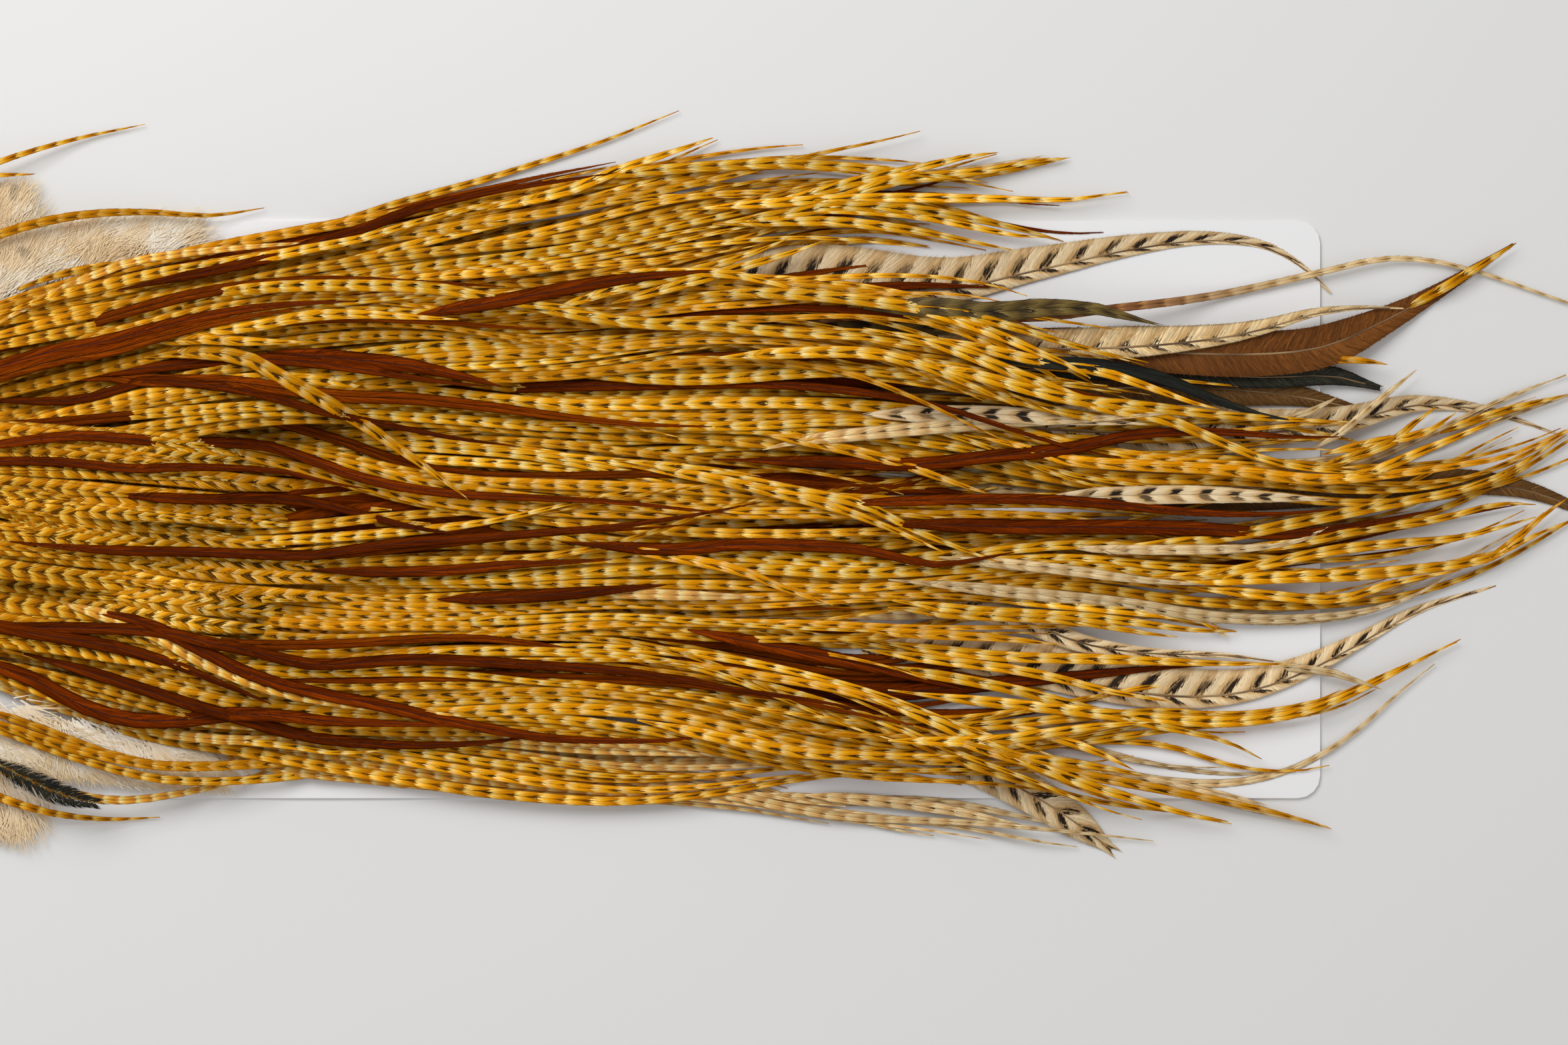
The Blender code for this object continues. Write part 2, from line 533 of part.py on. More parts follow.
def build():
    clear_scene()
    parts = bpy.data.collections.new("rooster_saddle_hackle")
    helpers = bpy.data.collections.new("sections_and_second_tips")
    helpers.hide_render = True
    for collection in (parts, helpers):
        bpy.context.scene.collection.children.link(collection)

    pile = Pile()
    flat_sheet("backing_card", card_outline(), 0, CARD_THICKNESS, "card", parts)
    pile.cover_outline(card_outline(), CARD_THICKNESS)
    skin_low = CARD_THICKNESS + GAP
    flat_sheet("saddle_skin", skin_outline(), skin_low, SKIN_THICKNESS, "hide", parts)
    pile.cover_outline(skin_outline(), skin_low + SKIN_THICKNESS)

    rooted = [
        lock._replace(path=[(root, lock.path[0][1] * ROOT_SPREAD), *lock.path])
        for root, row in zip(ROW_ROOTS, LOCK_ROWS)
        for lock in row
    ]
    for strand in DOWN + BROAD + FREE_LOCKS + rooted + TOP_LOCKS:
        lay_strand(strand, pile, (parts, helpers))


build()
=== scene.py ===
"""The looks of the rooster saddle hackle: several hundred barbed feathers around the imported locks.

Places in the picture plane are in millimetres in the row's frame: +X runs along the feathers and +Y
across the saddle. Heights, in millimetres too, come from the frame's own solids. mm() turns millimetres into
metres. A feather's look is its material, and a lock's dress is the look that most of its feathers have.
"""

import bpy
import numpy as np
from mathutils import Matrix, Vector
from mathutils.bvhtree import BVHTree


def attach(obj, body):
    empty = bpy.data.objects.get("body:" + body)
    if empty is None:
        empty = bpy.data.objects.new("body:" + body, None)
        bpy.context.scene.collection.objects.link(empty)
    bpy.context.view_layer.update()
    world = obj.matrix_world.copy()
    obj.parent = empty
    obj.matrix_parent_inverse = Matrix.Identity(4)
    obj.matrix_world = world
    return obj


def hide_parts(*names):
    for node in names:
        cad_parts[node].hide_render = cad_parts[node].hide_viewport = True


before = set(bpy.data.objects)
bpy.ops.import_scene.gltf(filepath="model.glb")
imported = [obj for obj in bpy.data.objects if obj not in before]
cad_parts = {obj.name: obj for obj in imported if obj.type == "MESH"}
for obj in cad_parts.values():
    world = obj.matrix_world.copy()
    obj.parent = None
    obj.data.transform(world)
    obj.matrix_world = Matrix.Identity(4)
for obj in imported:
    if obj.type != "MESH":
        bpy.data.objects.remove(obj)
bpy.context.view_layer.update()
rng = np.random.default_rng(41)

# The photo's view: its middle and width in the row's frame, in millimetres.
VIEW_CENTRE = (64.3, -2.6)
VIEW_WIDTH = 313.6
LENS = 85.0
SENSOR = 36.0
VIEW_LEVEL = 0.004  # the height at which the view has that width, in metres
PILE_MIDDLE = (0.06, 0, 0)  # in metres

# The paths of the feathers in the plane, from root to tip, as the solids have them: name, half width, path.
DOWN = [
    ("down_plume_head", 11, [(-148, 2), (-156, 3), (-163, 4), (-169, 4)]),
    ("down_plume_upper_left", 10, [(-138, 34), (-124, 43), (-109, 52), (-96, 59), (-87, 63)]),
    ("down_plume_upper_right", 8.5, [(-122, 39), (-103, 46), (-84, 51), (-68, 54.5), (-52, 56.5)]),
    ("down_plume_lower_left", 10, [(-136, -33), (-124, -42), (-109, -51), (-96, -59), (-87, -65)]),
    ("down_plume_lower_right", 7.5, [(-118, -37), (-101, -43.4), (-83, -48), (-64, -51), (-45, -53.5)]),
]

LOCKS = [
    ("lock_upper_left_long", 1.3, "gold",
     [(-141, 33), (-126, 47), (-110, 60), (-93, 68.8), (-78, 74.3), (-64, 77.4)]),
    ("lock_lower_left_curl", 1.6, "gold",
     [(-136, -33), (-122, -43), (-108, -51), (-95, -56.6), (-83, -60.8), (-72, -62.3), (-61, -61.8)]),
    ("lock_black_based", 2.0, "cream",
     [(-130, -33), (-114, -42), (-99, -49), (-84, -55.2), (-70, -58.3), (-56, -57), (-43, -53.8),
      (-31, -49.8)]),
    ("lock_lower_long", 1.8, "gold",
     [(-124, -37), (-109, -40), (-93, -43), (-78, -48), (-60, -52.2), (-40, -52.6), (-22, -51), (-4, -48.6),
      (15, -48), (34, -49.4), (50, -52.6), (65, -56)]),
    ("lock_upper_left_curl", 1.5, "gold",
     [(-124, 35), (-107, 46), (-91, 54), (-77, 58), (-64, 59.2), (-51, 58.8), (-40, 60.6)]),
    ("lock_right_thin", 1.7, "rust",
     [(-102, 16.8), (-66, 21), (-20, 32), (30, 36), (75, 37), (110, 36.6), (132, 40.4), (155, 43.8),
      (172, 46.4), (187, 48.5), (203, 46.6), (222, 41.4), (235, 37)]),
    ("lock_right_sweep", 2.6, "cream",
     [(-102, 9.6), (-50, 12), (0, 16), (50, 13.6), (95, 9), (130, 6), (158, 6.4), (178, 9), (193, 13.8),
      (206, 18.6), (222, 23.4), (236, 27)]),
    ("lock_pale_right", 2.4, "cream",
     [(-102, -9.6), (-60, -12), (-20, -14.4), (30, -14), (80, -13), (112, -13.4), (135, -16), (158, -20.8),
      (176, -20.8), (190, -17), (201, -11.4)]),
    ("lock_pale_lower", 2.2, "cream",
     [(-102, -24), (-66, -30), (-28, -40.6), (20, -43.8), (66, -45.6), (100, -46), (121, -48), (137, -50.8),
      (152, -51.3), (165, -49.2), (177, -44), (187, -37), (195, -31)]),
    ("lock_pale_edge", 2.6, "cream",
     [(-102, -26.9), (-84, -33.6), (-62, -39.4), (-40, -46.6), (-18, -49), (6, -51.6), (30, -54),
      (54, -56.8), (74, -60), (98, -61.6), (120, -64.4), (138.5, -66.6)]),
    ("lock_gold_edge", 1.9, "gold",
     [(-102, -28.8), (-86, -36), (-64, -42.6), (-40, -45.6), (-14, -49.6), (8, -53), (30, -55), (48, -54.2),
      (66, -52.3), (84, -52.3), (100, -55.3)]),
    ("lock_upper_edge", 1.9, "brown",
     [(-102, 34.9), (-80, 43.6), (-62, 46.6), (-46, 49.4), (-30, 52.8), (-10, 59), (10, 63.4), (30, 67.2),
      (41, 70.4), (51, 74.3)]),
    ("lock_upper_a", 2.6, "gold",
     [(-113, 30.9), (-92, 38.6), (-74, 42.6), (-56, 46), (-32, 50), (-8, 55), (16, 60.6), (40, 66.4),
      (62, 69), (84, 68.2), (105, 65.7)]),
    ("lock_upper_c", 3.2, "gold",
     [(-113, 26.1), (-90, 32.6), (-64, 37.4), (-38, 41.8), (-10, 47.6), (20, 53.2), (48, 58.6), (72, 61.6),
      (96, 62.5), (118, 62.2), (133.5, 63.7)]),
    ("lock_upper_e", 3.2, "gold",
     [(-113, 21.3), (-84, 26.6), (-58, 31.4), (-30, 38), (-2, 43.4), (24, 47.6), (46, 52.4), (66, 56.8),
      (82, 57.2), (97, 54.6), (110, 52.2)]),
    ("lock_mid_b", 3.4, "gold",
     [(-113, 16.5), (-88, 20.6), (-60, 25), (-32, 31), (-4, 34.6), (26, 35.4), (54, 36.8), (80, 35.8),
      (103, 32.2), (126, 27.6), (151, 20)]),
    ("lock_centre_b", 3.4, "gold",
     [(-113, 8.5), (-84, 10.6), (-52, 13.6), (-26, 16.8), (2, 16.4), (30, 14.6), (58, 15), (84, 13.6),
      (108, 11.6), (134, 11.6), (160, 13.4), (175, 13.6), (187, 11.2)]),
    ("lock_centre_f", 3.2, "gold",
     [(-113, -4), (-78, -5), (-54, -5.4), (-28, -7), (0, -8.6), (26, -8.2), (50, -6.8), (74, -5.6),
      (98, -7), (122, -8.2), (148, -8.4), (174, -5.4), (196, -1.6), (213, 1.2)]),
    ("lock_lower_b", 3.4, "gold",
     [(-113, -8.8), (-84, -11), (-50, -14.4), (-24, -17), (4, -17), (30, -16.4), (56, -17), (80, -17),
      (104, -15), (128, -15.4), (152, -16.6), (174, -15.4), (192, -11.4), (206, -6.6), (214, -2.8)]),
    ("lock_lower_d", 3.4, "gold",
     [(-113, -14.1), (-80, -17.6), (-48, -21.6), (-20, -24.8), (8, -24.4), (34, -24), (58, -25.8),
      (82, -28.6), (106, -31.4), (126, -34.6), (143, -38)]),
    ("lock_lower_g", 3.2, "gold",
     [(-113, -19.2), (-84, -24), (-56, -29.6), (-28, -33.6), (0, -34.4), (26, -35.4), (52, -40),
      (76, -45.4), (100, -46.6), (121, -44.6), (141, -42.4), (158, -42.4), (173, -39.2), (186, -33),
      (199.5, -26.6)]),
    ("lock_lower_i", 2.8, "cream",
     [(-113, -25.6), (-92, -32), (-74, -36.6), (-52, -40.6), (-28, -42.4), (0, -43.8), (28, -45.6),
      (54, -47.2), (76, -49.4), (93, -51.6)]),
    ("lock_upper_b", 3.2, "gold",
     [(-124, 28.3), (-94, 35.4), (-70, 40), (-42, 45.4), (-14, 51.2), (16, 57.2), (44, 62.8), (68, 65.6),
      (88, 66.9), (107, 71.4)]),
    ("lock_upper_d", 3.2, "gold",
     [(-124, 23.7), (-92, 29.6), (-62, 35), (-32, 41.4), (-4, 46.4), (24, 50.8), (50, 55.6), (72, 59.6),
      (90, 59.7), (106, 57.3), (120.4, 53.9)]),
    ("lock_mid_a", 3.3, "gold",
     [(-124, 18.9), (-92, 23.6), (-64, 29.4), (-36, 35), (-8, 38.6), (22, 39.2), (50, 41.4), (75, 41.2),
      (98, 38.4), (118, 33.4), (137, 29.3)]),
    ("lock_mid_d", 3.4, "gold",
     [(-124, 12.5), (-88, 15.6), (-58, 20.6), (-28, 27.6), (2, 29.4), (34, 29.6), (64, 30), (92, 27.6),
      (120, 23), (148, 19.4), (178, 17.6)]),
    ("lock_centre_e", 3.2, "gold",
     [(-124, 0.8), (-82, 1), (-58, 4), (-34, 4.6), (-10, 2.2), (12, -0.6), (36, -3.4), (60, -3.6),
      (84, -3.2), (106, -5), (128, -6.6), (152, -5.4), (174, -1.6), (196, 4.4), (216, 12), (232, 20)]),
    ("lock_lower_a", 3.4, "gold",
     [(-124, -7.2), (-76, -9), (-52, -11), (-26, -12.4), (2, -12.4), (28, -11.6), (54, -11.4), (78, -12.4),
      (100, -11), (122, -9.8), (146, -12), (170, -13), (192, -11.4), (208, -7.6), (222, -1.6), (233, 4)]),
    ("lock_lower_c", 3.4, "gold",
     [(-124, -11.2), (-92, -14), (-70, -17.6), (-46, -20.4), (-20, -22), (6, -20.8), (30, -19.6),
      (54, -20.6), (78, -20.4), (102, -20.2), (124, -21.2), (142, -22.8), (155, -24.4)]),
    ("lock_lower_h", 3.2, "gold",
     [(-124, -22.9), (-90, -28.6), (-64, -34), (-38, -37.6), (-10, -38.8), (18, -39.2), (42, -41.8),
      (62, -46), (82, -48.8), (104, -49.4), (120, -50.8), (136, -53.4)]),
    ("lock_upper_f", 2.6, "gold",
     [(-135, 21.6), (-96, 27), (-64, 32.6), (-36, 37.8), (-10, 40.8), (14, 42.2), (36, 44.8), (55, 48.6),
      (72, 53.6)]),
    ("lock_mid_c", 3.4, "gold",
     [(-135, 14.4), (-98, 18), (-68, 23.6), (-38, 28.4), (-8, 31.6), (22, 32), (50, 33.6), (74, 33),
      (92, 29.2), (107, 23.8), (119, 18.8)]),
    ("lock_centre_a", 3.4, "gold",
     [(-135, 10.4), (-96, 13), (-66, 18.6), (-36, 22.8), (-8, 21.8), (20, 19.6), (50, 18.8), (78, 17.4),
      (103, 14.6), (128, 9.6), (155, 7.4), (178, 5.6), (198, 7.6), (216, 13.6), (232, 22)]),
    ("lock_centre_c", 3.4, "gold",
     [(-135, 6.1), (-92, 7.6), (-62, 10.8), (-36, 13), (-8, 12.6), (18, 11.4), (42, 7.6), (63, 3.2),
      (84, -2.6), (105, -9.8)]),
    ("lock_lower_e", 3.2, "gold",
     [(-135, -14.4), (-102, -18), (-80, -21.6), (-56, -25.6), (-30, -28.6), (-4, -28.4), (22, -28),
      (44, -29.6), (64, -33.4), (83, -38.4), (100, -45), (115, -50.4), (132, -57), (153.5, -62.7)]),
    ("lock_brown_lower", 2.6, "brown",
     [(-135, -17.6), (-110, -22), (-90, -24.4), (-68, -27.6), (-46, -31), (-24, -31.6), (0, -30.6),
      (24, -31.6), (45, -33.6), (64, -37.4), (82, -41.4), (96, -44)]),
    ("lock_brown_upper", 3.0, "brown",
     [(-146, 19.7), (-112, 24.6), (-94, 28), (-80, 31.4), (-63, 34.8), (-46, 38), (-26, 40.4), (-4, 41),
      (16, 40.4), (34, 40)]),
    ("lock_brown_centre", 3.0, "brown",
     [(-146, 9.6), (-116, 12), (-94, 13.4), (-72, 14), (-48, 13.4), (-28, 9.6), (-8, 4.8), (14, 2.6),
      (38, 1.4), (64, 0.8), (92, 0.6), (118, 0.8), (142, -1.6), (165, -1.8), (186, 1.6)]),
    ("lock_brown_cross", 2.6, "brown",
     [(-146, -5.6), (-108, -7), (-84, -8.2), (-60, -8.8), (-36, -8.6), (-12, -6.6), (12, -4.8), (34, -2.2),
      (50, 0.6), (64, 3)]),
]
FORKS = {
    "lock_upper_left_long": [(-116, 52.5), (-106, 61), (-96, 66.2), (-86, 67.3)],
    "lock_lower_long": [(-96, -39.5), (-84, -44), (-71, -48.6), (-58, -50.8)],
    "lock_pale_lower": [(112, -48.5), (132, -54), (154, -58.8), (173.5, -63.7)],
    "lock_pale_edge": [(56, -56.5), (74, -57.8), (98, -59.4), (121, -63.4)],
    "lock_upper_b": [(76, 65.6), (90, 66.4), (104, 67.6), (121, 70.6)],
    "lock_mid_a": [(88, 38.5), (100, 36.6), (113, 32), (126, 25)],
}

TOP_LOCKS = [
    ("lock_top_lower", 6.5, [(-154, -14), (-130, -15), (-104, -16.4), (-80, -19), (-60, -21.8),
                             (-42, -24)]),
    ("lock_top_upper", 6.5, [(-155, 13), (-130, 11.6), (-106, 9.6), (-82, 8), (-60, 6.2), (-40, 4.6)]),
    ("lock_top_middle", 6.5, [(-157, 1), (-132, 0), (-108, -2), (-84, -4.6), (-62, -7.4), (-43, -9.6)]),
]

BROAD = [
    ("grizzly_feather_upper", 7.5, "grizzly",
     [(10, 38), (40, 42), (68, 45), (95, 44), (115, 48), (133, 52), (148, 54), (160, 53), (168, 49),
      (174, 43.6)]),
    ("brown_feather_under", 6.0, "tan_brown",
     [(60, 21), (90, 23), (120, 24), (145, 24.5), (165, 23), (183, 19.5)]),
    ("black_feather_tip", 2.6, "black",
     [(80, 27), (110, 28), (140, 27.5), (160, 26.5), (174, 26.8), (184, 24.4)]),
    ("brown_feather_upper", 5.6, "dark_brown",
     [(90, 33), (115, 33), (140, 31.5), (158, 31), (172, 32.5), (184, 37.5), (196, 44), (211, 53.4)]),
    ("cream_feather_upper", 4.4, "cream",
     [(95, 33), (115, 32), (135, 32.5), (150, 34), (160, 36), (170, 39), (180, 40.3), (188.5, 40.3)]),
    ("grizzly_feather_right", 6.0, "grizzly",
     [(100, 17), (130, 15.5), (155, 15), (175, 17), (190, 20.8), (203, 20.3), (212, 17.8), (220, 15)]),
    ("brown_feather_right", 3.4, "tan_brown",
     [(120, 1), (150, 1.5), (178, 3.6), (197, 5.4), (212, 4.2), (224, 0), (235, -6)]),
    ("barred_feather_lower", 4.4, "grizzly",
     [(50, -42), (72, -45), (92, -48), (105, -52.6), (115, -57.8), (123, -63), (130, -68.3)]),
    ("grizzly_feather_lower", 6.4, "grizzly",
     [(80, -28), (105, -31), (125, -35), (142, -37.5), (156, -36.8), (168, -33), (179, -27.5), (192, -20.4),
      (207.5, -15.4)]),
    ("barred_feather_right", 2.6, "grizzly",
     [(80, -17), (100, -19.5), (113, -22.6), (124, -26.8), (137, -28.8), (152, -29.2), (165, -30.8)]),
]

# Single feathers that the photo shows on top: the lock they belong to, look, half width and path.
SINGLES = [
    ("lock_brown_upper", "brown", 1.34,
     [(-120, 22), (-93, 28), (-80, 31.5), (-70, 33), (-60, 35.5), (-50, 37.8), (-40, 39.5), (-30, 40.5),
      (-20, 41)]),
    ("lock_brown_upper", "orange", 1.3,
     [(-118, 19), (-93, 26), (-80, 29.5), (-70, 31), (-60, 33.5), (-50, 36), (-40, 38), (-30, 39.5)]),
    ("lock_brown_centre", "brown", 1.05,
     [(-112, 11), (-93, 12.6), (-75, 14.5), (-60, 13.5), (-45, 13.2), (-38, 12.5), (-30, 10), (-22, 7),
      (-12, 4.5), (0, 3), (10, 2.5), (30, 1.5), (45, 0), (55, -1)]),
    ("lock_brown_centre", "brown", 0.92,
     [(-112, 9), (-82, 9.5), (-65, 8), (-55, 8.3), (-45, 8.2), (-35, 7.5), (-27, 5.5), (-18, 4)]),
    ("lock_brown_centre", "brown", 0.92,
     [(-100, 22), (-80, 21.5), (-70, 23), (-62, 25.5), (-50, 24.5), (-40, 23), (-33, 21), (-26, 19),
      (-18, 17.5), (-8, 15.5), (0, 14), (12, 12.5)]),
    ("lock_centre_a", "orange", 1.3,
     [(-90, 24), (-72, 26.5), (-62, 25.5), (-44, 25), (-25, 22.5), (-10, 22), (5, 20.5), (20, 18.5),
      (35, 17), (50, 16.5)]),
    ("lock_mid_c", "brown", 1.18,
     [(-80, 26), (-62, 28), (-44, 29.5), (-35, 29.5), (-25, 28.5), (-15, 27), (-5, 25.5), (5, 24.5)]),
    ("lock_brown_cross", "brown", 1.01,
     [(-92, -6), (-70, -8), (-50, -8.5), (-40, -9), (-30, -9.2), (-20, -7.7), (-10, -6.5), (0, -5.8),
      (20, -4.3), (30, -3.5), (41, -2), (50, -0.5), (60, 1.5)]),
    ("lock_brown_cross", "brown", 1.09,
     [(-70, 3), (-52, 2), (-40, 2.2), (-30, 1.5), (-20, -1), (-10, -3.5), (0, -5)]),
    ("lock_brown_lower", "brown", 1.18,
     [(-112, -20), (-93, -23), (-75, -23.5), (-60, -24), (-50, -26), (-40, -28), (-30, -30.5), (-22, -30.5),
      (-12, -29.8), (0, -30), (15, -31), (30, -32), (41, -33.5), (55, -36), (70, -38), (85, -41)]),
    ("lock_brown_lower", "brown", 1.34,
     [(-112, -21), (-93, -23), (-85, -24.5), (-75, -26), (-65, -28), (-55, -31), (-45, -35), (-37, -38.5)]),
    ("lock_lower_h", "brown", 1.26,
     [(-80, -19), (-65, -21.5), (-58, -24), (-50, -28), (-43, -31.5), (-35, -34.5), (-25, -37), (-15, -39),
      (-5, -41.5), (5, -43.5), (15, -45.3), (25, -46), (41, -46), (50, -44.5)]),
    ("lock_lower_a", "brown", 1.09,
     [(-30, -12), (-15, -12.5), (0, -12), (10, -11), (20, -10.5), (30, -10)]),
    ("lock_centre_e", "brown", 1.26,
     [(20, -6.5), (41, -8), (55, -7), (75, -7.5), (85, -9), (95, -11), (110, -8.5)]),
    ("lock_centre_b", "brown", 1.34,
     [(50, 10), (72, 9.5), (90, 9), (105, 10.5), (120, 12), (135, 15), (150, 15.5), (165, 14.5),
      (175, 14.5)]),
    ("lock_brown_centre", "brown", 1.05,
     [(70, 1), (100, 2), (115, 2), (130, 1), (145, -0.5), (160, -1), (175, 0)]),
    ("lock_upper_edge", "brown", 1.01,
     [(-70, 43), (-40, 49.5), (-30, 53), (-20, 56), (-10, 60), (0, 62.5), (10, 64.5), (20, 65.8),
      (30, 67.3)]),
    ("lock_centre_a", "gold", 1.5,
     [(-62, 30), (-50, 31), (-41, 29.5), (-36, 26.8), (-30, 23.5), (-20, 17.5), (-12, 12), (-5, 7),
      (1, 2.5)]),
    ("lock_mid_b", "brown", 1.43,
     [(-10, 38), (10, 41.5), (25, 44.5), (35, 46), (50, 47.5)]),
]

# The path of the fuzzy black base of one feather, and feathers that lie low in the gaps between the locks.
BLACK_BASE = [(-93, -50), (-87, -53), (-82, -55.5), (-77, -57.4), (-72, -58.6)]
LOW_FEATHERS = [
    ("brown", 3.0, [(20, 27), (45, 27.5), (70, 27), (95, 26.5), (115, 24)]),
    ("olive", 3.0, [(40, 33.5), (65, 34), (85, 33.5), (100, 34), (115, 31)]),
    ("olive", 2.5, [(60, 38), (85, 37.5), (100, 37), (120, 35)]),
    ("brown", 2.5, [(40, 6.5), (60, 6), (80, 5), (100, 3.5)]),
]

# How many feathers the slim free locks have on top, and what the low feathers under the locks lie between.
SPARSE = {
    "lock_upper_left_long": 1, "lock_lower_left_curl": 1, "lock_black_based": 1, "lock_lower_long": 2,
    "lock_upper_left_curl": 1, "lock_right_thin": 1,
}
UNDER_EDGES = ("lock_upper_d", "lock_lower_g")
UNDER_COUNT = 44

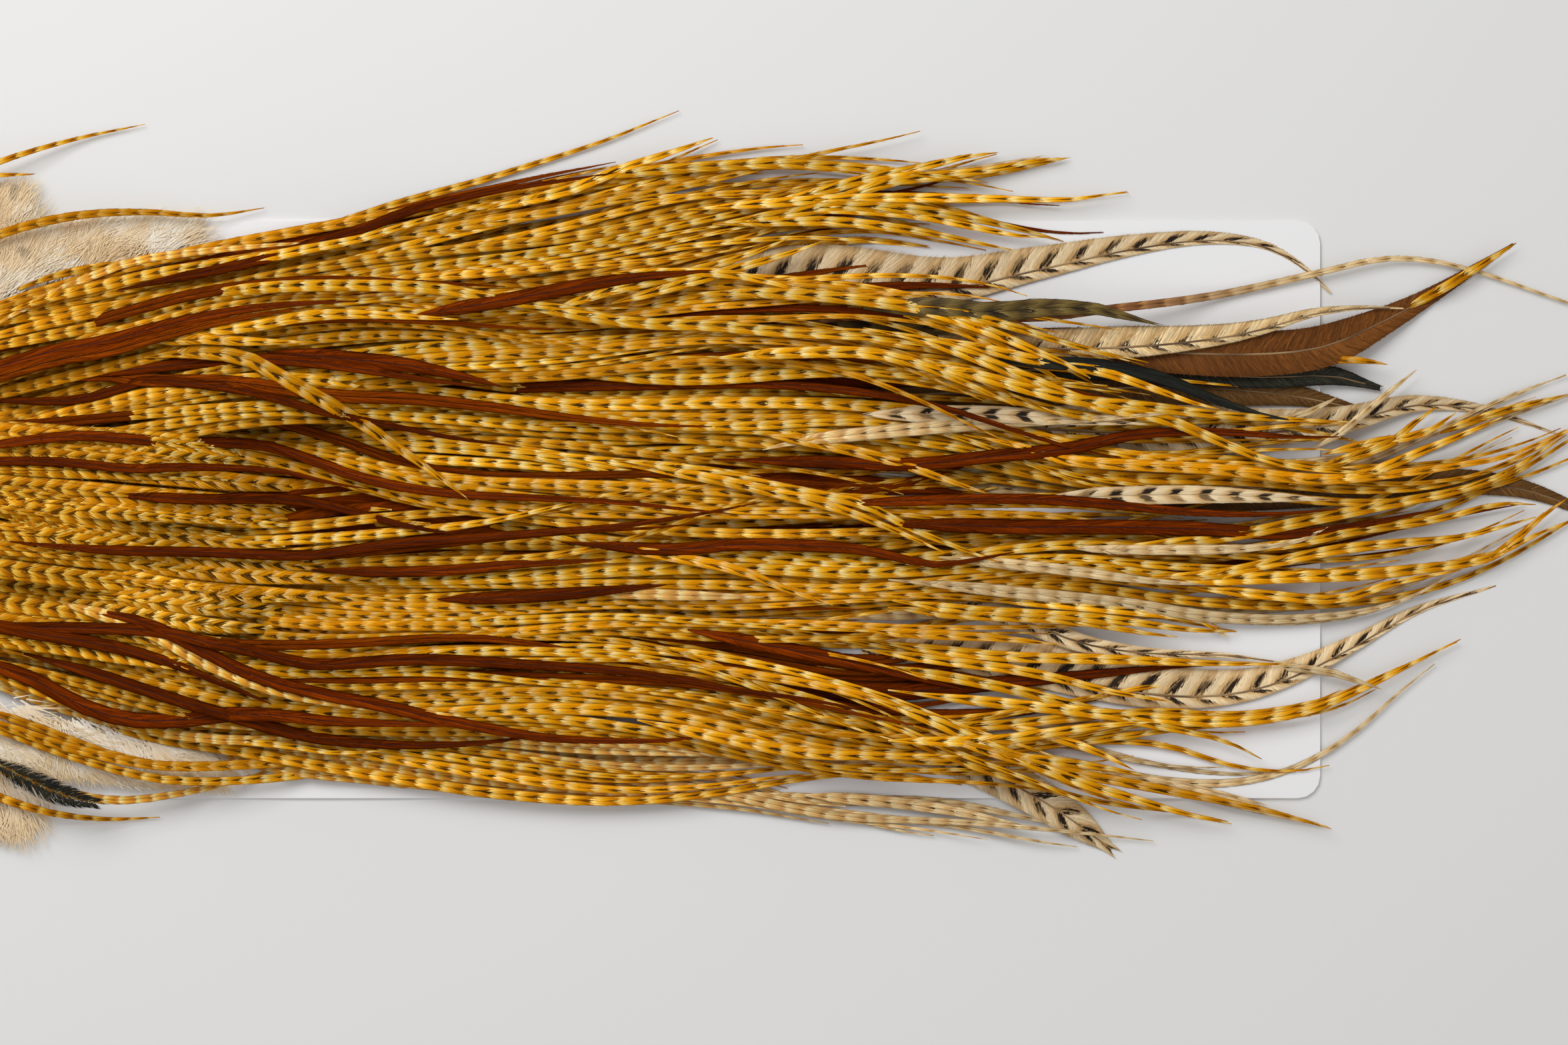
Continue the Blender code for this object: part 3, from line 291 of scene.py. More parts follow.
# Loose feathers and tips: the piece they make, and each one's look, half width and path.
TIPS = {
    "loose_feathers_left": [
        ("cream", 1.0, [(-93, 36), (-75, 45.5), (-65, 49.5), (-55, 51.2), (-45, 52.2), (-35, 53),
                        (-28, 53)]),
        ("gold", 1.3, [(-93, 38), (-80, 42), (-70, 44.5), (-60, 47), (-50, 48.5), (-40, 50), (-30, 52),
                       (-20, 54), (-10, 57), (0, 60), (10, 62)]),
        ("gold", 1.3, [(-62, 33), (-50, 33.5), (-40, 33), (-30, 33)]),
        ("gold", 1.4, [(-60, 33), (-50, 35), (-40, 36), (-30, 38), (-20, 38.5), (-10, 38), (0, 37.5)]),
        ("gold", 1.4, [(-58, 42), (-45, 43), (-30, 44), (-10, 44), (0, 43), (10, 41), (20, 40), (30, 38.5),
                       (41, 37)]),
        ("brown", 1.9, [(-38, 31), (-25, 30), (-10, 28.5), (0, 26.5), (8, 24.5)]),
        ("brown", 1.6, [(-5, -18), (10, -17.5), (25, -16.5), (41, -15)]),
        ("brown", 1.9, [(-105, -27), (-93, -31), (-85, -34), (-78, -38), (-72, -40.5), (-65, -42),
                        (-55, -41.8), (-45, -40.5), (-35, -40.8), (-25, -42), (0, -43)]),
        ("brown", 1.5, [(-90, -28), (-75, -32), (-65, -35), (-55, -38), (-45, -41), (-35, -44), (-25, -46),
                        (-10, -47), (5, -46.5), (15, -45)]),
        ("cream", 1.8, [(-82, -18), (-70, -21), (-60, -24.5), (-50, -30), (-40, -34), (-30, -37),
                        (-15, -39.5), (0, -41)]),
        ("gold", 1.2, [(-100, -30), (-93, -33), (-85, -36), (-75, -40), (-65, -43), (-55, -45), (-45, -46),
                       (-35, -47), (-25, -48.5), (-15, -48)]),
    ],
    "loose_tips_upper": [
        ("gold", 1.3, [(5, 60), (20, 63.5), (30, 67.5), (37, 70), (43, 72), (50, 74.5)]),
        ("gold", 1.3, [(20, 66), (32, 67.3), (45, 68.5), (60, 69.2), (70, 69), (80, 68.3), (90, 67.2),
                       (100, 66.2), (105, 65.5)]),
        ("gold", 1.3, [(60, 61), (70, 63), (80, 66), (90, 68), (100, 70.5), (107, 71.5)]),
        ("gold", 1.3, [(60, 60), (75, 62), (85, 65.5), (95, 66.8), (105, 68), (115, 70), (121, 70.5)]),
        ("gold", 1.2, [(45, 60), (60, 61), (75, 62), (90, 62.3), (105, 62.2), (120, 62), (127, 62.8),
                       (133, 63.7)]),
        ("gold", 1.3, [(50, 57), (65, 59), (75, 60.5), (90, 60), (100, 58.5), (110, 56.5), (120, 53.8)]),
        ("gold", 1.2, [(60, 60), (75, 60), (90, 59), (100, 57), (110, 55), (117, 54.5)]),
        ("gold", 1.2, [(50, 57), (65, 57.5), (75, 57.5), (85, 56.5), (95, 55), (105, 53), (110, 52)]),
        ("gold", 1.2, [(30, 41), (45, 45), (55, 48), (65, 51), (72, 53.5)]),
        ("gold", 1.3, [(18, 39.5), (30, 43.5), (41, 46), (55, 50), (65, 54)]),
        ("gold", 1.2, [(30, 47), (41, 47), (52, 47), (62, 45), (68, 43)]),
        ("gold", 1.4, [(10, 40), (20, 39), (35, 37), (50, 36.5), (65, 35), (80, 34), (95, 32)]),
        ("gold", 1.4, [(45, 43), (60, 43), (75, 42), (90, 40), (100, 38.5), (110, 36), (120, 33),
                       (133, 29.5)]),
        ("gold", 1.3, [(80, 42), (90, 40), (100, 37), (108, 34), (115, 31), (121, 28.5), (125, 26)]),
        ("gold", 1.4, [(50, 30), (65, 31), (80, 31), (90, 29), (100, 25), (110, 20.5)]),
    ],
    "loose_tips_right": [
        ("gold", 1.3, [(30, 10), (45, 8), (60, 5), (70, 3), (80, 1), (90, -4), (100, -8), (107, -10.5)]),
        ("gold", 1.3, [(34, 8.5), (48, 6.5), (62, 3.5), (74, 0.5), (86, -4), (96, -8.5)]),
        ("gold", 1.3, [(60, 15), (72, 13), (85, 10), (95, 6.5), (105, 3)]),
        ("olive", 2.4, [(80, 40), (94, 40), (105, 39), (115, 40), (125, 40), (130, 39), (138, 37)]),
        ("black", 1.6, [(105, 29.5), (118, 29), (128, 28.5), (140, 26), (150, 22), (160, 18.8), (165, 18)]),
        ("grizzly", 2.0, [(80, 19), (88, 19), (105, 19), (120, 18), (135, 17)]),
        ("cream", 1.6, [(60, 12), (70, 14), (90, 16), (110, 17.5), (125, 18), (140, 19)]),
        ("brown", 1.8, [(80, -3), (94, -3), (110, -3.5), (130, -3.5), (150, -4), (165, -5), (180, -3),
                        (195, 0)]),
        ("gold", 1.3, [(95, 34), (112, 30), (125, 28), (135, 25), (145, 21.5), (151, 20)]),
        ("gold", 1.4, [(85, 29), (100, 27), (120, 22), (135, 20.5), (150, 19), (165, 18), (177, 17.5)]),
        ("gold", 1.4, [(80, 36), (94, 33), (110, 27), (125, 21), (140, 18), (150, 14), (160, 10), (170, 8),
                       (185, 7)]),
        ("gold", 0.9, [(170, 30.3), (175, 30), (180, 29.8), (185, 29)]),
        ("gold", 1.15, [(188, 39.7), (192, 41.9), (197, 44.7), (204, 49), (211, 53.4)]),
        ("cream", 0.9, [(170, 12), (176, 15.5), (180, 19), (186, 24), (191, 28)]),
        ("cream", 0.9, [(160, 17), (168, 19), (175, 22.5)]),
        ("gold", 1.4, [(100, 15), (110, 13), (120, 10), (130, 9), (150, 8), (170, 6), (185, 7), (200, 9),
                       (210, 11), (221, 16)]),
        ("grizzly", 2.2, [(115, 2), (125, 2.5), (145, 3), (160, 2.5), (172, 2)]),
        ("gold", 1.4, [(125, -8), (140, -7), (155, -5), (170, -2), (185, 1), (200, 4), (210, 8),
                       (221, 15)]),
        ("gold", 1.0, [(195, 15), (206, 19), (221, 23)]),
        ("gold", 1.2, [(170, 8), (185, 13), (190, 17), (195, 20.5)]),
        ("gold", 1.1, [(172, 11), (185, 14), (192, 15), (199, 19.5)]),
        ("gold", 1.2, [(165, 5), (180, 7), (190, 11), (200, 15), (208, 18.5)]),
        ("cream", 1.2, [(120, -7.5), (130, -8), (150, -8), (160, -7.5), (168, -6), (173, -3.5)]),
    ],
    "loose_tips_lower": [
        ("gold", 1.3, [(25, -6), (40, -9), (55, -12), (65, -16), (74, -19)]),
        ("cream", 1.3, [(25, -16.5), (40, -17), (60, -17.5)]),
        ("brown", 1.7, [(45, -24), (60, -27), (80, -31), (100, -36)]),
        ("cream", 1.3, [(95, -9.5), (105, -10.5), (120, -12), (135, -14), (148, -15)]),
        ("cream", 1.5, [(85, -14), (96, -15), (115, -17), (130, -18.5), (140, -20), (150, -21.5),
                        (165, -22), (180, -20.5), (190, -17.5), (197, -13.5)]),
        ("gold", 1.5, [(135, -14), (150, -14), (165, -13.5), (180, -13), (195, -11.5), (205, -10),
                       (213, -6), (221, -2.5)]),
        ("gold", 1.3, [(135, -13.5), (150, -13), (160, -11), (175, -8), (190, -6.5), (200, -5.5),
                       (215, -1.5)]),
        ("gold", 1.2, [(150, -8), (165, -7), (180, -4), (195, -2), (207, 1), (215, 1)]),
        ("gold", 1.2, [(145, -15.5), (160, -17), (175, -18), (185, -15), (200, -12)]),
        ("gold", 1.0, [(195, -11), (207, -9), (213, -4), (218, 0), (221, 2)]),
        ("gold", 1.3, [(85, -18), (100, -20), (115, -21), (130, -22), (145, -24), (155, -24.5)]),
        ("gold", 1.2, [(105, -18), (120, -19), (140, -21), (150, -23), (153, -25.5)]),
        ("gold", 1.2, [(85, -19.5), (100, -21), (120, -22), (135, -24.5), (143, -25.5)]),
        ("gold", 1.3, [(80, -26), (94, -28), (110, -29.5), (130, -30), (150, -30.8), (166, -31)]),
        ("gold", 1.2, [(80, -24), (94, -25), (105, -25.5), (119, -27)]),
        ("gold", 1.2, [(80, -28), (94, -30), (110, -32), (120, -34), (130, -36.5), (142, -38.5)]),
        ("gold", 1.3, [(80, -31), (94, -33), (110, -36), (125, -40), (135, -42.5), (145, -44.5),
                       (153, -46.5), (160, -50)]),
        ("gold", 1.4, [(85, -36), (100, -38), (120, -40), (135, -41.5), (150, -42.5), (160, -42),
                       (170, -40), (180, -36), (190, -31), (200, -26)]),
        ("cream", 1.0, [(160, -31), (173, -32.5), (178, -34), (184, -36)]),
        ("gold", 1.3, [(85, -46), (100, -46), (110, -45.5), (125, -43.5), (138, -42.5)]),
        ("gold", 1.4, [(80, -37), (94, -42), (105, -47), (115, -51), (125, -55), (135, -58), (145, -61),
                       (154, -63)]),
        ("gold", 1.2, [(90, -43), (105, -48), (120, -52), (135, -55), (150, -58), (162, -60.5),
                       (174, -64)]),
        ("gold", 1.2, [(100, -46), (110, -49), (125, -51), (136, -53)]),
        ("gold", 1.1, [(108, -43), (120, -46), (128, -49), (134, -52)]),
        ("gold", 1.4, [(35, -42), (50, -45), (60, -47), (70, -48.5), (85, -49), (100, -49)]),
    ],
}


def mm(value):
    return np.asarray(value, float) * 0.001


def between(wanted, known, table):
    """The first two columns of a table, read between its rows."""
    return np.stack([np.interp(wanted, known, table[:, axis]) for axis in (0, 1)], -1)


PATH_STEP = 1.0  # between the places of a path


def smooth_path(points):
    """Places a step apart on a smooth curve through the points."""
    points = np.array(points, float)
    padded = np.vstack([2 * points[0] - points[1], points, 2 * points[-1] - points[-2]])
    share = np.linspace(0, 1, 16, endpoint=False)[:, None]
    pieces = []
    for before, start, end, after in zip(padded, padded[1:], padded[2:], padded[3:]):
        pieces.append(0.5 * (
            2 * start
            + (end - before) * share
            + (2 * before - 5 * start + 4 * end - after) * share**2
            + (3 * start - before - 3 * end + after) * share**3
        ))
    fine = np.vstack([*pieces, points[-1:]])
    along = np.concatenate([[0], np.cumsum(np.linalg.norm(np.diff(fine, axis=0), axis=1))])
    wanted = np.linspace(0, along[-1], max(8, int(along[-1] / PATH_STEP) + 1))
    return between(wanted, along, fine)


def lengths_along(places):
    return np.concatenate([[0], np.cumsum(np.linalg.norm(np.diff(places[:, :2], axis=0), axis=1))])


def resampled(points, count):
    """The given number of places spread evenly along a smooth curve through the points."""
    path = smooth_path(points)
    return path[np.linspace(0, len(path) - 1, count).round().astype(int)]


def side_ways(places):
    """The unit direction to the left of a path at each place."""
    ahead = np.gradient(places[:, :2], axis=0)
    ahead /= np.linalg.norm(ahead, axis=1)[:, None]
    return np.column_stack([-ahead[:, 1], ahead[:, 0]])


def smoothed(values, reach):
    """A running average over the given number of samples, with its ends held."""
    kernel = np.hanning(2 * reach + 3)[1:-1]
    padded = np.concatenate([np.full(reach, values[0]), values, np.full(reach, values[-1])])
    return np.convolve(padded, kernel / kernel.sum(), "valid")


def ease(value, low, high):
    share = np.clip((np.asarray(value, float) - low) / (high - low), 0, 1)
    return share * share * (3 - 2 * share)


def tree_of(names):
    """A search tree over some of the frame's solids."""
    places = []
    faces = []
    for name in names:
        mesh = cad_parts[name].data
        start = len(places)
        places += [vertex.co.copy() for vertex in mesh.vertices]
        faces += [[start + index for index in face.vertices] for face in mesh.polygons]
    return BVHTree.FromPolygons(places, faces)


EVERY_SOLID = tree_of(list(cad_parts))
SKY = 0.2  # where the search for the solids' top starts, in metres
REST_HEIGHT = 1.4  # of a tip that lies past the solids
DROP_REACH = 30.0  # how far past the solids a tip takes to come down to that
CLEARANCE = 0.9  # the least height of a feather, which keeps it off the card


def heights_over(tree, places, fallback):
    """The height of the solids' top at each place, or the fallback if no place lies over a solid."""
    found = []
    for x, y in mm(places[:, :2]):
        hit = tree.ray_cast(Vector((x, y, SKY)), Vector((0, 0, -1)))[0]
        found.append(hit.z * 1000 if hit else np.nan)
    found = np.array(found)
    known = ~np.isnan(found)
    if not known.any():
        return np.full(len(found), float(fallback))
    samples = np.arange(len(found))
    filled = np.interp(samples, samples[known], found[known])
    past = np.maximum(samples - samples[known][-1], 0)
    return REST_HEIGHT + (filled - REST_HEIGHT) * np.exp(-past / DROP_REACH)


class Coat:
    """Gathers the small faces of one piece, with what its materials read from them."""

    VALUES = ("along", "across", "reach", "barb", "feather", "bars", "tone", "open")

    def __init__(self, bands):
        self.bands = bands
        self.band = 0
        self.places = []
        self.faces = []
        self.values = {name: [] for name in self.VALUES}
        self.bake = []
        self.looks = []
        self.count = 0

    def next_band(self):
        """The share of the bake map that the next feather takes."""
        self.band += 1
        return (self.band - 1) / self.bands, self.band / self.bands

    def add(self, places, faces, look, bake, **values):
        """Adds places (..., 3) and faces (m, 4), which all wear one look."""
        self.places.append(places.reshape(-1, 3))
        self.faces.append(faces + self.count)
        self.looks.append(np.full(len(faces), look))
        self.bake.append(bake.reshape(-1, 2))
        for name in self.VALUES:
            value = np.broadcast_to(values.get(name, 0.0), places.shape[:-1])
            self.values[name].append(value.ravel())
        self.count += len(self.places[-1])

    def piece(self, name, node=None):
        """Makes the piece, which takes the given node's place."""
        places = mm(np.concatenate(self.places)).astype(np.float32)
        faces = np.concatenate(self.faces).astype(np.int32)
        mesh = bpy.data.meshes.new(name)
        mesh.vertices.add(len(places))
        mesh.vertices.foreach_set("co", places.ravel())
        mesh.loops.add(faces.size)
        mesh.loops.foreach_set("vertex_index", faces.ravel())
        mesh.polygons.add(len(faces))
        mesh.polygons.foreach_set("loop_start", np.arange(0, faces.size, 4, dtype=np.int32))
        mesh.polygons.foreach_set("use_smooth", np.ones(len(faces), bool))
        looks = np.concatenate(self.looks)
        used = sorted(set(looks.tolist()))
        for look in used:
            mesh.materials.append(MATERIALS[look])
        mesh.polygons.foreach_set("material_index", np.searchsorted(used, looks).astype(np.int32))
        for value in self.VALUES:
            layer = mesh.attributes.new(value, "FLOAT", "POINT")
            layer.data.foreach_set("value", np.concatenate(self.values[value]).astype(np.float32))
        bake = mesh.uv_layers.new(name="OFBake")
        spots = np.concatenate(self.bake).astype(np.float32)
        bake.data.foreach_set("uv", spots[faces.ravel()].ravel())
        mesh.update(calc_edges=True)
        mesh.validate()
        obj = bpy.data.objects.new(name, mesh)
        bpy.context.scene.collection.objects.link(obj)
        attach(obj, "root")
        if node:
            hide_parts(node)


def toneless(places):
    return 0.0


class Feather:
    """A feather's stem, the form of its vanes and what sets its colours."""

    OVERHANG = 14.0  # past the tip, for the barbs that reach past it
    OUTERMOST = 1.15  # how far across a vane its form goes on
    ROUND_HALF = 2.2  # a vane wider than this gets no rounder
    BAKE_EDGE = 0.01
    BAKE_HALF = 0.42  # of a vane, as a share of the feather's band

    def __init__(self, band, path, heights, left, right, roundness, period, cup=0.0, roll=0.0, tone=toneless,
                 openness=0.0):
        self.band = band
        self.along = lengths_along(path)
        self.length = self.along[-1]
        ahead = path[-1] - path[-4]
        ahead = ahead / np.linalg.norm(ahead[:2])
        self.ends = np.append(self.along, self.length + self.OVERHANG)
        self.path = np.vstack([path[:, :2], path[-1, :2] + ahead[:2] * self.OVERHANG])
        self.side = np.vstack([side_ways(path), side_ways(path)[-1:]])
        self.heights = np.append(heights, heights[-1])
        self.left = np.append(left, left[-1])
        self.right = np.append(right, right[-1])
        self.roundness = roundness
        self.cup = cup
        self.roll = roll
        self.tone = tone
        self.openness = openness
        self.seed = rng.random()
        # the bars lie closer together near the skin
        here = np.interp(self.ends, self.along, path[:, 0])
        steps = np.diff(self.ends) / (period * (0.76 + 0.44 * ease(here[1:], -90, 120)))
        self.bars = rng.uniform(0, 9) + np.concatenate([[0], np.cumsum(steps)])

    def half(self, along, across):
        left = np.interp(along, self.ends, self.left)
        right = np.interp(along, self.ends, self.right)
        return np.where(across >= 0, left, right)

    def surface(self, along, across, lift=0.0):
        """Places on the vanes. across runs from -1 at the right edge to 1 at the left one."""
        half = self.half(along, across)
        stem = between(along, self.ends, self.path)
        side = between(along, self.ends, self.side)
        height = np.interp(along, self.ends, self.heights)
        out = np.minimum(np.abs(across), self.OUTERMOST)
        # each vane is a low lobe that turns down at its edge
        lobe = np.sin(np.pi * np.clip(out, 0, 1) ** 0.85) ** 0.8 - 0.25 * out**3
        rise = self.roundness * np.minimum(half, self.ROUND_HALF) * lobe + self.cup * half * out**1.6
        height = height + rise + self.roll * across * half + lift
        return np.concatenate([stem + side * (across * half)[..., None], height[..., None]], -1)

    def bake_spot(self, along, across):
        """A place in the feather's own band of the bake map."""
        low, high = self.band
        share = np.clip(along / (self.length + self.OVERHANG), 0, 1)
        reach = self.BAKE_HALF * (high - low) * np.clip(across, -1.1, 1.1)
        return np.stack([self.BAKE_EDGE + (1 - 2 * self.BAKE_EDGE) * share, (low + high) / 2 + reach], -1)

    def values(self, along, across, places):
        """What the materials read at places on the vanes."""
        bars = np.interp(along, self.ends, self.bars)
        return {
            "along": along, "across": across, "bars": bars, "tone": self.tone(places), "feather": self.seed,
            "open": self.openness,
        }


def grid_faces(rows, columns):
    index = np.arange(rows * columns).reshape(rows, columns)
    return np.stack([index[:-1, :-1], index[1:, :-1], index[1:, 1:], index[:-1, 1:]], -1).reshape(-1, 4)


def strip_faces(count, stations):
    """The faces of many strips, each with two places at every station."""
    one = np.arange(stations - 1)[:, None] * 2 + np.array([0, 1, 3, 2])
    return (np.arange(count)[:, None, None] * stations * 2 + one[None]).reshape(-1, 4)


def add_vanes(coat, feather, look, spacing, shares):
    """The closed surface of both vanes, on which the barbs lie."""
    stations = max(6, int(feather.length / spacing))
    along, across = np.meshgrid(np.linspace(0, feather.length, stations), shares, indexing="ij")
    places = feather.surface(along, across)
    coat.add(
        places, grid_faces(*along.shape), look, feather.bake_spot(along, across),
        reach=np.abs(across), barb=0.5, **feather.values(along, across, places),
    )


LONGEST_RUN = 13.0  # of a barb along the stem
PAST_TIP = 3.0  # how far the last barbs may reach past the stem
BARB_EDGE = 1.3  # how far out a barb may reach, against the vane's edge


def add_barbs(coat, feather, look, spacing, width, sweep, lift, ragged, stations=4):
    """Barbs from the stem outwards on both sides, swept towards the tip.

    sweep gives their angle in degrees at a length along the stem. ragged is the most that one reaches past
    the vane's edge, as a share of its width.
    """
    roots = np.arange(0.0, feather.length - 1.0, spacing)
    q = np.linspace(0, 1, stations)[None, :]
    for side in (1, -1):
        root = roots + rng.uniform(-0.4, 0.4, len(roots)) * spacing
        count = len(root)
        half = feather.half(root, np.full(count, float(side)))
        slope = np.tan(np.radians(sweep(root) * rng.uniform(0.8, 1.2, count)))
        run = np.minimum(half / slope, LONGEST_RUN)
        start = rng.uniform(0.0, 0.35, count)[:, None]
        out = start + (1 + rng.uniform(-0.02, ragged, count)[:, None] - start) * q**0.9
        along = root[:, None] + run[:, None] * (start + (1 - start) * q)
        along = np.minimum(along, feather.length + PAST_TIP)
        wide = width * rng.uniform(0.7, 1.2, count)[:, None] * (1 - 0.85 * q**2.2)
        norm = np.hypot(run, half)[:, None]
        shift_along = wide * half[:, None] / norm
        shift_out = wide * run[:, None] / norm / np.maximum(feather.half(along, side * out), 0.2)
        pair_along = np.stack([along + shift_along, along - shift_along], -1)
        pair_out = np.clip(np.stack([out - shift_out, out + shift_out], -1), 0.0, BARB_EDGE)
        raised = (lift * rng.uniform(0.3, 1.0, count)[:, None] * (0.35 + 0.65 * q))[..., None]
        across = side * pair_out
        places = feather.surface(pair_along, across, raised)
        coat.add(
            places, strip_faces(count, stations)[:, ::-side], look, feather.bake_spot(pair_along, across),
            reach=q[..., None], barb=rng.random(count)[:, None, None],
            **feather.values(pair_along, across, places),
        )


def add_stem(coat, feather, base, tip, lift):
    """A half-round stem on top of the vanes, which thins from its base to its tip."""
    stations = max(6, int(feather.length / 5))
    along = np.linspace(0, feather.length * 0.97, stations)
    radius = (base + (tip - base) * (along / feather.length) ** 0.7)[:, None]
    turn = np.radians([0, 60, 120, 180])
    centre = feather.surface(along, np.zeros(stations), lift)
    side = between(along, feather.ends, feather.side)
    places = np.repeat(centre[:, None, :], len(turn), 1)
    places[..., :2] += side[:, None, :] * (radius * np.cos(turn))[..., None]
    places[..., 2] += radius * np.sin(turn) - radius * 0.3
    spots = np.repeat(along[:, None], len(turn), 1)
    coat.add(
        places, grid_faces(*spots.shape)[:, ::-1], "stem", feather.bake_spot(spots, np.zeros_like(spots)),
        along=spots, barb=0.5, feather=feather.seed, tone=feather.tone(places),
    )


class Nodes:
    """A material and its node tree, built from short calls."""

    def __init__(self, name, roughness, **sockets):
        self.material = bpy.data.materials.new(name)
        self.material.use_nodes = True
        self.tree = self.material.node_tree
        self.shader = self.tree.nodes["Principled BSDF"]
        self.shader.inputs["Roughness"].default_value = roughness
        for key, value in sockets.items():
            self.shader.inputs[key.replace("_", " ")].default_value = value

    def node(self, kind, **settings):
        made = self.tree.nodes.new(kind)
        for key, value in settings.items():
            setattr(made, key, value)
        return made

    def put(self, socket, value):
        if isinstance(value, bpy.types.NodeSocket):
            self.tree.links.new(value, socket)
        elif isinstance(value, tuple) and len(value) == 3 and socket.type == "RGBA":
            socket.default_value = (*value, 1)
        else:
            socket.default_value = value

    def math(self, operation, *values):
        made = self.node("ShaderNodeMath", operation=operation)
        for socket, value in zip(made.inputs, values):
            self.put(socket, value)
        return made.outputs[0]

    def product(self, first, *others):
        for other in others:
            first = self.math("MULTIPLY", first, other)
        return first

    def centred(self, noise):
        return self.math("SUBTRACT", noise, 0.5)

    def value(self, name):
        return self.node("ShaderNodeAttribute", attribute_name=name).outputs["Fac"]

    def vector(self, x, y=0.0, z=0.0):
        made = self.node("ShaderNodeCombineXYZ")
        for socket, value in zip(made.inputs, (x, y, z)):
            self.put(socket, value)
        return made.outputs[0]

    def noise(self, vector, scale, detail=2.0, roughness=0.5):
        made = self.node("ShaderNodeTexNoise")
        self.put(made.inputs["Vector"], vector)
        self.put(made.inputs["Scale"], scale)
        self.put(made.inputs["Detail"], detail)
        self.put(made.inputs["Roughness"], roughness)
        return made.outputs[0]

    def ease(self, value, low, high, start=0.0, end=1.0):
        made = self.node("ShaderNodeMapRange", interpolation_type="SMOOTHSTEP")
        for socket, given in zip(made.inputs, (value, low, high, start, end)):
            self.put(socket, given)
        return made.outputs[0]

    def ramp(self, value, stops):
        made = self.node("ShaderNodeValToRGB")
        elements = made.color_ramp.elements
        for _ in stops[2:]:
            elements.new(0.5)
        for element, (place, colour) in zip(elements, stops):
            element.position = place
            element.color = (*colour, 1)
        self.put(made.inputs[0], value)
        return made.outputs[0]

    def mix(self, share, first, second, blend="MIX"):
        made = self.node("ShaderNodeMix", data_type="RGBA", blend_type=blend)
        self.put(made.inputs[0], share)
        self.put(made.inputs[6], first)
        self.put(made.inputs[7], second)
        return made.outputs[2]

    def shade(self, colour, amount):
        """The colour times an amount."""
        grey = self.node("ShaderNodeCombineColor")
        for socket in grey.inputs:
            self.put(socket, amount)
        return self.mix(1.0, colour, grey.outputs[0], "MULTIPLY")

    def bump(self, height, distance, strength=1.0):
        made = self.node("ShaderNodeBump")
        self.put(made.inputs["Height"], height)
        self.put(made.inputs["Distance"], distance)
        self.put(made.inputs["Strength"], strength)
        self.tree.links.new(made.outputs[0], self.shader.inputs["Normal"])

    def finish(self, colour):
        self.put(self.shader.inputs["Base Color"], colour)
        return self.material


# Colours, linear.
CREAM = (0.95, 0.74, 0.32)
PALE_GOLD = (0.92, 0.54, 0.055)
GOLD = (0.80, 0.345, 0.0010)
AMBER = (0.65, 0.225, 0.0003)
DEEP_AMBER = (0.36, 0.098, 0.0003)
DARK = (0.014, 0.006, 0.002)
RED_BROWN = (0.162, 0.0235, 0.0004)
DEEP_BROWN = (0.085, 0.011, 0.0003)
ORANGE_BROWN = (0.21, 0.038, 0.0005)
WHITE_SHEEN = (1, 1, 1, 1)
GOLD_SHEEN = (1.0, 0.62, 0.16, 1)
BROWN_SHEEN = (1.0, 0.36, 0.08, 1)

# The colours along one bar, from the start of its light band to the start of the next.
GOLD_STOPS = [
    (0.0, PALE_GOLD), (0.05, CREAM), (0.14, CREAM), (0.27, PALE_GOLD), (0.48, GOLD), (0.82, AMBER),
    (0.945, AMBER), (1.0, PALE_GOLD),
]
# Deeper colours along one bar: the real deeper colour near the skin and at the tips, and painted warm shade
# on low golden hackles.
DEEP_STOPS = [
    (0.0, PALE_GOLD), (0.12, PALE_GOLD), (0.28, GOLD), (0.42, AMBER), (0.72, DEEP_AMBER), (0.96, DEEP_AMBER),
    (1.0, PALE_GOLD),
]
CREAM_STOPS = [
    (0.0, (0.80, 0.62, 0.36)), (0.35, (0.76, 0.55, 0.28)), (0.55, (0.68, 0.45, 0.20)),
    (0.78, (0.50, 0.29, 0.10)), (1.0, (0.7, 0.5, 0.25)),
]
GRIZZLY_STOPS = [
    (0.0, (0.86, 0.68, 0.43)), (0.3, (0.84, 0.64, 0.37)), (0.5, (0.66, 0.41, 0.17)),
    (0.85, (0.58, 0.34, 0.12)), (1.0, (0.84, 0.64, 0.38)),
]
RUST_STOPS = [
    (0.0, (0.42, 0.17, 0.03)), (0.3, (0.20, 0.050, 0.003)), (0.8, (0.13, 0.024, 0.001)),
    (1.0, (0.3, 0.1, 0.01)),
]
OLIVE_STOPS = [
    (0.0, (0.26, 0.18, 0.05)), (0.4, (0.14, 0.085, 0.015)), (0.6, (0.05, 0.03, 0.008)),
    (1.0, (0.2, 0.13, 0.03)),
]

BARB_RISE = 0.08  # how fast the barbs leave the stem, in mm for each mm along it
BARB_RISE_OPEN = 0.5  # what is added to that on a wholly open feather
USUAL_HALF = 1.35  # a hackle's half width, which sets how wide the streaks are


